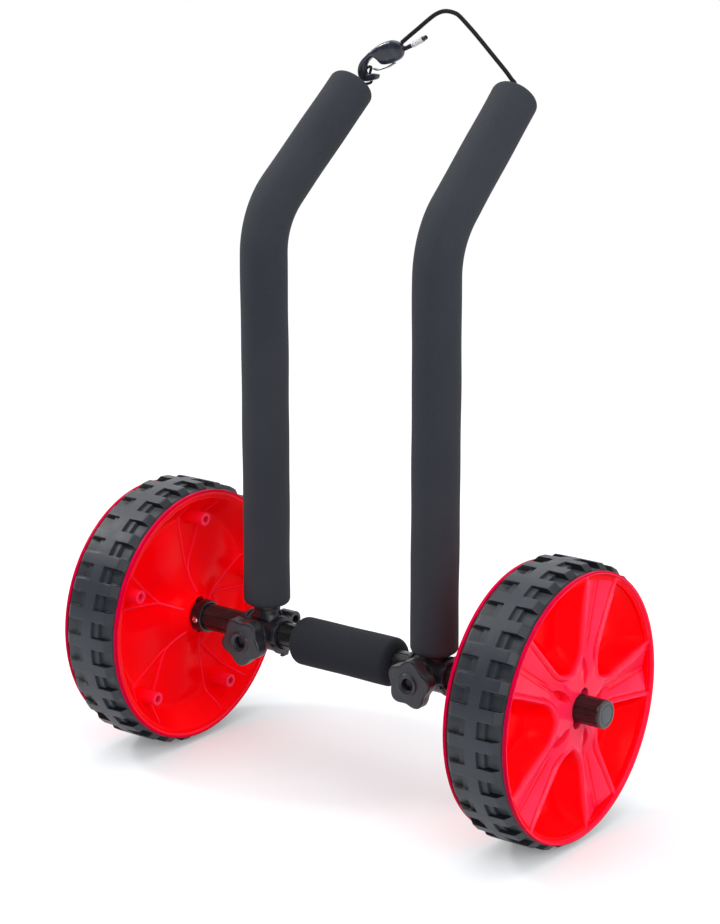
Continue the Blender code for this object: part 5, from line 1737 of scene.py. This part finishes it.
    def posts(self, foot: float, tip: float) -> Skin:
        """The hollow screw posts, one at each spoke.

        Args:
            foot: How far behind the wheel's middle each starts.
            tip: How far behind it each ends.

        Returns:
            All of them as one surface.
        """
        wall = [(7.6 * MM, foot), (6.3 * MM, tip), (3.4 * MM, tip), (3.4 * MM, foot)]
        section = rounded(wall, np.array([0, 0.7, 0.6, 0]) * MM, closed=True)
        # A painted highlight on each post's tip.
        sheen_share = stepped(section[:, 1], tip - 1.2 * MM, tip - 0.2 * MM)
        post = lathe(section, 40, closed=True, second=sheen_share)
        spots = circled_x(self.post_circle_r, 0, full_turn(self.spokes))
        first, *others = [post.moved(shifted(*spot) @ TO_MINUS_X) for spot in spots]
        return sum(others, first)

    def inner_columns(self, edge: Array, radii: Array) -> Array:
        """Angles of each ring of the dish, close together over the ridge of each Y.

        In half a sector they go to just inside the ridge, over it in eight steps, and on.

        Args:
            edge: The angle of the ridge, one for each ring.
            radii: The radius of each ring.

        Returns:
            Rows by columns.
        """
        middle = np.pi / self.spokes
        low = np.maximum(edge - 1.7 * MM / radii, edge * 0.2)[:, None]
        high = np.minimum(edge + 1.7 * MM / radii, middle * 0.9)[:, None]
        near, far = np.linspace(0, 1, 9), np.linspace(0, 1, 15)
        parts = [low * near, low + (high - low) * near[1:], high + (middle - high) * far[1:]]
        return self.all_round(np.concatenate(parts, axis=1))

    def build(self) -> None:
        """Builds the tyre and both shells, and dresses the rim's screws."""
        self.build_tyre()
        self.build_outer()
        self.build_inner()
        dress(STEEL, *[f"rim_screw_{self.side.label}_{i + 1}" for i in range(self.spokes)])


# Brackets and knobs


@dataclass(frozen=True)
class Bracket:
    """The sliding T bracket, its star knob, and the threaded insert and pad behind it."""

    side: Side
    length: float = 42 * MM
    barrel_r: float = 16.8 * MM
    flange_r: float = 18.3 * MM
    flange: float = 4 * MM
    neck_r: float = 12.3 * MM
    neck_top: float = 24 * MM
    spigot_r: float = 10.6 * MM
    spigot_length: float = 30 * MM
    boss_r: float = 10.5 * MM
    boss_front: float = 25.2 * MM
    boss_bore_r: float = 6.3 * MM
    knob_back: float = 28.5 * MM
    knob_front: float = 41.5 * MM
    tip_r: float = 23.5 * MM
    valley_r: float = 19.3 * MM
    boss_root: float = AXLE_R + SEAT_GAP + 1 * MM
    ear_r: float = 8 * MM
    ear_length: float = 16 * MM
    recess_r: float = 4.4 * MM
    recess_depth: float = 9 * MM
    scallops: int = 6
    scallop_r: float = 2.4 * MM
    knob_edge: float = 2.6 * MM
    stud_tip: float = 16.6 * MM
    stud_r: float = 3.75 * MM
    thread_pitch: float = 1.25 * MM
    voxel: float = 0.55 * MM

    def moulding(self) -> bpy.types.Mesh:
        """The T moulding: barrel with scalloped flanges, neck, boss, ear and toe in one.

        Returns:
            The mesh.
        """
        bore = AXLE_R + SEAT_GAP
        half = self.length / 2
        inner_end = -self.side.value * half
        wall = [
            (bore, -half),
            (self.flange_r, -half),
            (self.flange_r, -half + self.flange),
            (self.barrel_r, -half + self.flange),
            (self.barrel_r, half - self.flange),
            (self.flange_r, half - self.flange),
            (self.flange_r, half),
            (bore, half),
        ]
        barrel = lathe(wall, 96, closed=True).moved(TO_PLUS_X)
        neck = [
            (0, self.boss_root),
            (self.neck_r + 2.6 * MM, self.boss_root),
            (self.neck_r + 1.4 * MM, bore + 3.4 * MM),
            (self.neck_r, bore + 6.5 * MM),
            (self.neck_r, self.neck_top),
            (self.spigot_r, self.neck_top),
            (self.spigot_r, self.neck_top + self.spigot_length),
            (0, self.neck_top + self.spigot_length),
        ]
        ear_place = shifted(inner_end, 16 * MM, 11 * MM) @ self.side.outwards
        solids = [
            barrel,
            lathe(neck, 64),
            rod(self.boss_r, self.boss_root, self.boss_front, 64).moved(TO_FRONT),
            rod(self.ear_r, 0, self.ear_length).moved(ear_place),
            self.toe(inner_end + self.side.value * self.flange / 2),
        ]
        scallop = rod(self.scallop_r, -CUT_REACH, CUT_REACH, 24)
        spots = circled_x(self.flange_r + 0.8 * MM, 0, full_turn(self.scallops) + np.pi / 12)
        cuts = [
            rod(bore, -CUT_REACH, CUT_REACH, 96).moved(TO_PLUS_X),
            rod(self.boss_bore_r, 0, CUT_REACH).moved(TO_FRONT),
            rod(self.recess_r, -1 * MM, self.recess_depth, 32).moved(ear_place),
            *[scallop.moved(shifted(*spot) @ TO_PLUS_X) for spot in spots],
        ]
        place = self.side.bracket
        solids, cuts = ([skin.moved(place) for skin in skins] for skins in (solids, cuts))
        return carved(f"bracket_{self.side.label}", solids, cuts, self.voxel, smooth=3)

    def toe(self, x: float) -> Skin:
        """The foot under the inner flange: a rounded tongue that reaches down.

        Args:
            x: The middle of its thickness.

        Returns:
            The tongue.
        """
        flat = rounded([(-6, -6), (-6, -20.5), (6, -20.5), (6, -6)], 2.5, closed=True) * MM
        rings = [np.insert(flat, 0, x + side * self.flange / 2, axis=1) for side in (-1, 1)]
        middle = [ring.mean(axis=0) + 0 * ring for ring in rings]
        return Skin.grid(np.array([middle[0], *rings, middle[1]]), around=True)

    def star(self, angle: Array) -> Array:
        """The knob's outline: five round lobes, (tip + valley)/2 + (tip - valley)/2 cos(5a).

        Args:
            angle: Angles round the knob.

        Returns:
            The radii.
        """
        middle = (self.tip_r + self.valley_r) / 2
        swing = (self.tip_r - self.valley_r) / 2
        return middle + swing * np.cos(5 * angle)

    def build_knob(self) -> None:
        """The star and its stud. Each ring of the star is (share of a circle, reach, height).

        The reach is the circle's radius, or how far a ring of the star's outline lies inside it.
        """
        edge = self.knob_edge
        quarter = np.linspace(0, np.pi / 2, 6)
        back, front = self.knob_back, self.knob_front
        rows = [(1, 0, back), (1, 7 * MM, back), (0, edge + 0.5 * MM, back)]
        rows += [(0, edge * (1 - np.sin(t)), back + edge * (1 - np.cos(t))) for t in quarter]
        rim = front - edge
        rows += [(0, 0.25 * MM * np.sin(t), rim - 4 * MM * (1 - t / np.pi * 2)) for t in quarter[1:-1]]
        rows += [(0, edge * (1 - np.cos(t)), rim + edge * np.sin(t)) for t in quarter]
        crown = [(12.5, 0), (11.2, 0), (10.4, 0.2), (9.8, 1.5), (9.2, 2), (8.6, 2), (6.9, 1.2)]
        crown += [(6, 0.8), (5.6, 0.2), (5.5, -6), (5, -6.4), (0, -6.4)]
        rows += [(1 if i else 0.4, r * MM, front + z * MM) for i, (r, z) in enumerate(crown)]
        share, reach, height = np.array(rows).T[:, :, None]
        angle = full_turn(160)
        star = self.star(angle) - np.where(share > 0, 0, reach)
        radius = share * reach + (1 - share) * star
        place = self.side.bracket @ turned(-self.side.knob_turn, "Y") @ TO_FRONT
        label = self.side.label
        skin = Skin.grid(circled(radius, height, angle), around=True).moved(place)
        skin.build(f"knob_{label}", NYLON, f"knob_{label}", sharp=50)
        self.stud().moved(place).build(f"knob_stud_{label}", STEEL, f"knob_{label}")

    def stud(self) -> Skin:
        """The knob's threaded stud: its radius rises and falls once in each pitch.

        Returns:
            The stud.
        """
        start, end = self.stud_tip, self.knob_back + 1 * MM
        height = np.linspace(start, end, 80)
        radius = self.stud_r + 0.25 * MM * np.cos(2 * np.pi * height / self.thread_pitch)
        profile = np.concatenate([[(0, start)], np.stack([radius, height], axis=1), [(0, end)]])
        return lathe(profile, 32)

    def build(self) -> None:
        """Builds the moulding and the knob, and dresses what stays of the CAD."""
        label = self.side.label
        finished(self.moulding(), f"bracket_{label}", NYLON, f"bracket_{label}", sharp=60)
        self.build_knob()
        dress(BRASS, f"knob_insert_{label}")
        dress(SATIN, f"clamp_pad_{label}")


# Uprights


@dataclass(frozen=True)
class Upright:
    """A bent tube in foam, with a plug in its top that the cord goes through."""

    side: Side
    straight: float = 360 * MM
    bend_r: float = 72 * MM
    bend: float = 50 * DEGREE
    top_run: float = 133 * MM
    turn_in: float = 3 * DEGREE
    tube_r: float = 12.7 * MM
    bore_r: float = 10.9 * MM
    foam_r: float = 21.7 * MM
    foam_rounding: float = 5.6 * MM
    foam_over: float = 6 * MM
    plug_head: float = 2 * MM
    plug_length: float = 12 * MM

    @property
    def length(self) -> float:
        """The length of the middle line, from the axle's height to beyond the plug by foam_over."""
        return self.straight + self.bend_r * self.bend + self.top_run

    @property
    def plug_seat(self) -> float:
        """Where the plug's head sits on the tube's end."""
        return self.length - self.foam_over - self.plug_head

    @property
    def foam_ends(self) -> tuple[float, float]:
        """Where the foam starts and ends: the right one is longer and hangs lower."""
        if self.side is Side.RIGHT:
            return 19.4 * MM, self.length + 3 * MM
        return 28 * MM, self.length - 2 * MM

    def rest(self) -> Array:
        """The upright's own axes: at its bracket, turned in by 3 degrees."""
        return self.side.bracket @ turned(self.side.value * self.turn_in, "Z")

    def station(self, along: Array) -> tuple[Array, Array, Array]:
        """Where the middle line is: straight up, then an arc backwards, then straight again.

        Args:
            along: Lengths from the axle's height.

        Returns:
            How far back, how far up, and the lean in radians.
        """
        lean = np.clip(along - self.straight, 0, self.bend_r * self.bend) / self.bend_r
        beyond = np.maximum(along - self.straight - self.bend_r * self.bend, 0)
        back = self.bend_r * (1 - np.cos(lean)) + beyond * np.sin(lean)
        up = np.minimum(along, self.straight) + self.bend_r * np.sin(lean) + beyond * np.cos(lean)
        return back, up, lean

    def at(self, along: float) -> Array:
        """Axes on the middle line with Z along it, in the frame."""
        back, up, lean = self.station(np.float64(along))
        return self.rest() @ shifted(0, back, up) @ turned(-lean, "X")

    def build_foam(self) -> None:
        """The foam: its wall, carried along the bent line."""
        bore = self.tube_r + SEAT_GAP
        along, radius, angle = foam_wall(self.foam_ends, self.foam_r, self.foam_rounding, bore, 5 * MM)
        back, up, lean = self.station(along)
        across, out = radius * np.cos(angle), radius * np.sin(angle)
        points = np.stack([across, back + out * np.cos(lean), up - out * np.sin(lean)], axis=-1)
        skin = Skin.grid(points, around=True, closed=True).moved(self.rest())
        foam = skin.build(f"upright_foam_{self.side.label}", FOAM, f"bracket_{self.side.label}", sharp=60)

    def build_plug(self) -> None:
        """The plug: a soft-edged head on a body with two grip rings, bored for the cord."""
        hole = (2.38 if self.side is Side.RIGHT else 3.6) * MM
        body_r = self.bore_r - 0.5 * MM
        head = self.plug_head
        profile = [
            (hole, -self.plug_length),
            (body_r - 0.6 * MM, -self.plug_length),
            (body_r, -9 * MM),
            (body_r - 0.6 * MM, -8.4 * MM),
            (body_r, -5 * MM),
            (body_r - 0.6 * MM, -4.4 * MM),
            (body_r, 0),
            (self.tube_r, 0),
            (self.tube_r, head),
            (hole, head),
        ]
        radii = np.array([0.2, 0.8, 0.3, 0.3, 0.3, 0.3, 0.1, 0.3, 1.2, 0.5]) * MM
        skin = lathe(rounded(profile, radii, closed=True), 64, closed=True).moved(self.at(self.plug_seat))
        skin.build(f"top_plug_{self.side.label}", SATIN, f"bracket_{self.side.label}")

    def build_knot(self) -> bpy.types.Object:
        """The stopper knot below the plug: a tube along a trefoil.

        The trefoil is ((2 + cos 3t) cos 2t, (2 + cos 3t) sin 2t, 1.9 sin 3t), scaled to fit.

        Returns:
            The piece.
        """
        t = np.linspace(0, 2 * np.pi, 121)[:-1]
        reach = 2 + np.cos(3 * t)
        line = circled(reach, 1.9 * np.sin(3 * t), 2 * t) * 1.13 * MM
        path = np.vstack([line, line[:1]])
        rings = tube(path, 1.3 * MM, 12, up=(0, 0, 1))[:-1]
        place = self.at(self.plug_seat - self.plug_length - 5.3 * MM)
        skin = Skin.grid(rings, around=True, closed=True).moved(place)
        return skin.build(f"cord_knot_{self.side.label}", CORD, f"bracket_{self.side.label}")

    def build(self) -> bpy.types.Object:
        """Builds the foam, the plug and the knot, and dresses the tube and its pin.

        Returns:
            The knot.
        """
        self.build_foam()
        self.build_plug()
        dress(TUBE, f"upright_tube_{self.side.label}")
        dress(STEEL, f"upright_pin_{self.side.label}")
        return self.build_knot()


# Cords and hook


@dataclass(frozen=True)
class Lashing:
    """The bungee, the hook on its end, and the thin loop that the hook holds."""

    left: Upright
    right: Upright
    plane_y: float = 131 * MM
    bungee_d: float = 4 * MM
    loop_d: float = 2.6 * MM
    apex: tuple[float, float] = (8, 572.3)
    hook_bar: tuple[float, float] = (-83.2, 506)
    step: float = 1.2 * MM

    def place(self, point: tuple[float, float]) -> Array:
        """A point of the upright plane through the tube tops, from (x, z) in millimetres."""
        return AXLE + np.array([point[0] * MM, self.plane_y, point[1] * MM])

    def mouth(self, upright: Upright, out: float) -> Array:
        """A point on the axis of an upright's top plug, this far out of its head."""
        return upright.at(upright.length - upright.foam_over + out)[:3, 3]

    def build_bungee(self, at_start: list[bpy.types.Object], at_end: list[bpy.types.Object]) -> None:
        """The bungee as two stretches that meet at its top.

        Args:
            at_start: The pieces on its hook end.
            at_end: The pieces on its other end.
        """
        rise = [(-42.6, 541.2), (-34, 547.8), (-24.1, 555.2), (-13.4, 563.4), (-5.7, 568.6), (1.6, 571.6)]
        fall = [(14.6, 571.3), (20.4, 568.8), (32.6, 558.8), (41.8, 550.6), (50.9, 542.1), (61, 532.6)]
        fall += [(70.8, 523.4), (77.2, 516.6), (80.9, 512)]
        route = [self.place(point) for point in [*rise, self.apex, *fall]]
        inside = SEAT_GAP - self.right.plug_head - self.right.plug_length
        route += [self.mouth(self.right, out) for out in (inside + 17.4 * MM, inside + 13 * MM, inside)]
        path = smooth_path(route, self.step)
        top = int(np.argmin(np.linalg.norm(path - self.place(self.apex), axis=1)))
        rings = tube(path, self.bungee_d / 2, 20)
        lengths = lengths_along(path)
        mouth = path[np.argmin(np.abs(path[:, 2] - self.place((0, 516))[2]) + (path[:, 0] < 0))]
        halves = (
            ("bungee_rise", slice(0, top + 1), ("bracket_left", "axle"), path[0], path[top], at_start),
            ("bungee_fall", slice(top, len(path)), ("axle", "bracket_right"), path[top], mouth, at_end),
        )
        for name, part, bodies, start, end, pieces in halves:
            piece = cord_skin(rings[part], lengths[part]).build(name, CORD, None, "bungee_cord")
            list(bodies)
            tuple(start)
            tuple(end)
            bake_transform(piece)
            line = path[part] if name == "bungee_rise" else path[part][::-1]
            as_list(pieces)

    def build_tail(self) -> list[bpy.types.Object]:
        """The bungee's short tail beyond the hook, its clear sleeve and its black tip.

        Returns:
            The three pieces.
        """
        route = ((-40.3, 535.3), (-35, 537.6), (-30, 540.1), (-24.3, 543.1))
        tail = [self.place(point) for point in route]
        path = smooth_path(tail, self.step)
        run = (tail[-1] - tail[-2]) / np.linalg.norm(tail[-1] - tail[-2])
        cord = cord_skin(tube(path, self.bungee_d / 2, 20), lengths_along(path), 0.4 * MM)
        axes = np.eye(4)
        axes[:3, :3] = np.array(Vector(run).to_track_quat("Z", "X").to_matrix())
        axes[:3, 3] = tail[-1] - run * 7 * MM
        wall_r = self.bungee_d / 2 + SEAT_GAP
        height = np.linspace(0, 13 * MM, 14)
        wave = 0.12 * MM * np.sin(height / MM * 2.1)
        outer = np.stack([wall_r + 0.45 * MM + wave, height], axis=1)
        inner = np.stack([wall_r + 0 * height, height[::-1]], axis=1)
        sleeve = lathe(np.concatenate([outer, inner]), 28, closed=True).moved(axes)
        profile = [(0, 7.3), (1.2, 7.3), (1.2, 13), (2.1, 13.4), (2.1, 17.4), (0, 17.4)]
        radii = np.array([0, 0.3, 0.3, 1.4, 2, 0]) * MM
        tip = lathe(rounded(np.array(profile) * MM, radii, 6), 28).moved(axes)
        made = (("bungee_tail", cord, CORD), ("end_sleeve", sleeve, CLEAR), ("cord_tip", tip, SATIN))
        return [skin.build(name, finish, "bracket_left") for name, skin, finish in made]

    def build_loop(self) -> None:
        """The thin loop: out of the left plug, up in front of the hook's bar and down behind.
        """
        gap = self.loop_d / 2 + SEAT_GAP
        head = self.mouth(self.left, SEAT_GAP)
        foot = self.mouth(self.left, SEAT_GAP - self.left.plug_head - self.left.plug_length)
        axis = (head - foot) / np.linalg.norm(head - foot)
        bar = self.place(self.hook_bar)
        aside = 3.5 * MM + self.loop_d / 2 + 0.8 * MM
        top = bar + np.array([3.4, 0, 9.6]) * MM
        over = np.array([-gap, 0, 0])
        back = np.array([0, aside, 0])
        below, above = np.array([0, 0, -5]) * MM, np.array([0, 0, 2]) * MM
        lean = np.array([1, 0, 0]) * MM
        route = [foot + over, head + over, head + over + axis * 3 * MM, bar - back + below - lean]
        route += [bar - back + above, top - back * 0.55, top + back * 0.55]
        route += [bar + back + above, bar + back + below + lean]
        route += [head - over + axis * 3 * MM, head - over, foot - over]
        path = smooth_path(route, 0.9 * MM)
        skin = cord_skin(tube(path, self.loop_d / 2, 16, up=(1, 0, 0)), lengths_along(path))
        piece = skin.build("anchor_loop", CORD, "bracket_left")

    def build_hook(self) -> None:
        """The hook: rounded sections carried round its C between two edge lines.

        A section's middle is halfway between the lines and reaches from one to the other. Its
        half thickness swells from 3.5 mm to 4.8 mm at the body, and its outline is
        (cos|cos|^-0.25, sin|sin|^-0.25), a squarish ellipse.
        """
        outer = [(-41.8, 538), (-44.6, 541), (-52, 542.6), (-58, 541.6), (-66.5, 538.3), (-74.5, 533.2)]
        outer += [(-78.6, 530.2), (-82, 527.2), (-88, 521.6), (-91.4, 515.4), (-91.8, 509.6), (-89.4, 505)]
        outer += [(-83.6, 502.8), (-76.4, 503.8), (-70.8, 505.5)]
        inner = [(-41, 534), (-42.2, 528.2), (-47, 524.3), (-55, 521.1), (-64.4, 519.6), (-69.2, 523)]
        inner += [(-73.4, 525.2), (-77, 524), (-80.6, 520.6), (-82.6, 516.4), (-82.6, 512), (-81.2, 510.2)]
        inner += [(-79, 509.6), (-74.6, 510.8), (-69.8, 510.4)]
        thick = [3.2, 3.9, 4.7, 4.8, 4.5, 4.1, 3.9, 3.7, 3.6, 3.5, 3.5, 3.5, 3.5, 3.4, 3.2]
        flat = np.concatenate([np.array(outer), np.array(inner), np.array(thick)[:, None]], axis=1)
        rows = smooth_path(flat, 1.2)
        high, low, half = rows[:, :2], rows[:, 2:4], rows[:, 4]
        angle = full_turn(40)
        wide = np.cos(angle) * np.maximum(np.abs(np.cos(angle)), 1e-6) ** -0.25
        deep = np.sin(angle) * np.maximum(np.abs(np.sin(angle)), 1e-6) ** -0.25
        middle, reach = (high + low) / 2, (high - low) / 2
        spot = middle[:, None] + reach[:, None] * wide[None, :, None]
        points = np.stack([spot[..., 0], half[:, None] * deep[None], spot[..., 1]], axis=-1) * MM
        points += AXLE + np.array([0, self.plane_y, 0])
        skin = Skin.grid(solid(points, 1.6 * MM, 5), around=True)
        skin.build("hook_body", HOOK, "bracket_left", sharp=60)

    def build_gate(self) -> None:
        """The sprung gate: a flat strip with rounded edges, along its bent line."""
        line = [(-51, 521.8), (-56.6, 518.4), (-63.4, 515.8), (-69.2, 514.2), (-74, 515.2)]
        path = smooth_path([self.place(point) for point in line], 1 * MM)
        skin = Skin.grid(solid(swept(path, strip(5, 1, 0.45, 4)), 0.3 * MM), around=True)
        skin.build("hook_gate", HOOK, "hook_gate", sharp=60)

    def build(self, knots: Sequence[bpy.types.Object]) -> None:
        """Builds the cords, which go first, and then the hook and its gate.

        Args:
            knots: The knots below the left and the right plug.
        """
        self.build_bungee(self.build_tail(), [knots[1]])
        self.build_loop()
        self.build_hook()
        self.build_gate()


def main() -> None:
    """Builds the studio and then each sub-assembly."""
    logging.basicConfig(level=logging.INFO, format="%(name)s: %(message)s")
    Studio().build()
    uprights = [Upright(side) for side in Side]
    knots = [upright.build() for upright in uprights]
    Lashing(*uprights).build(knots)
    AxleParts().build()
    for side in Side:
        Wheel(side).build()
        Bracket(side).build()


if __name__ == "__main__":
    main()
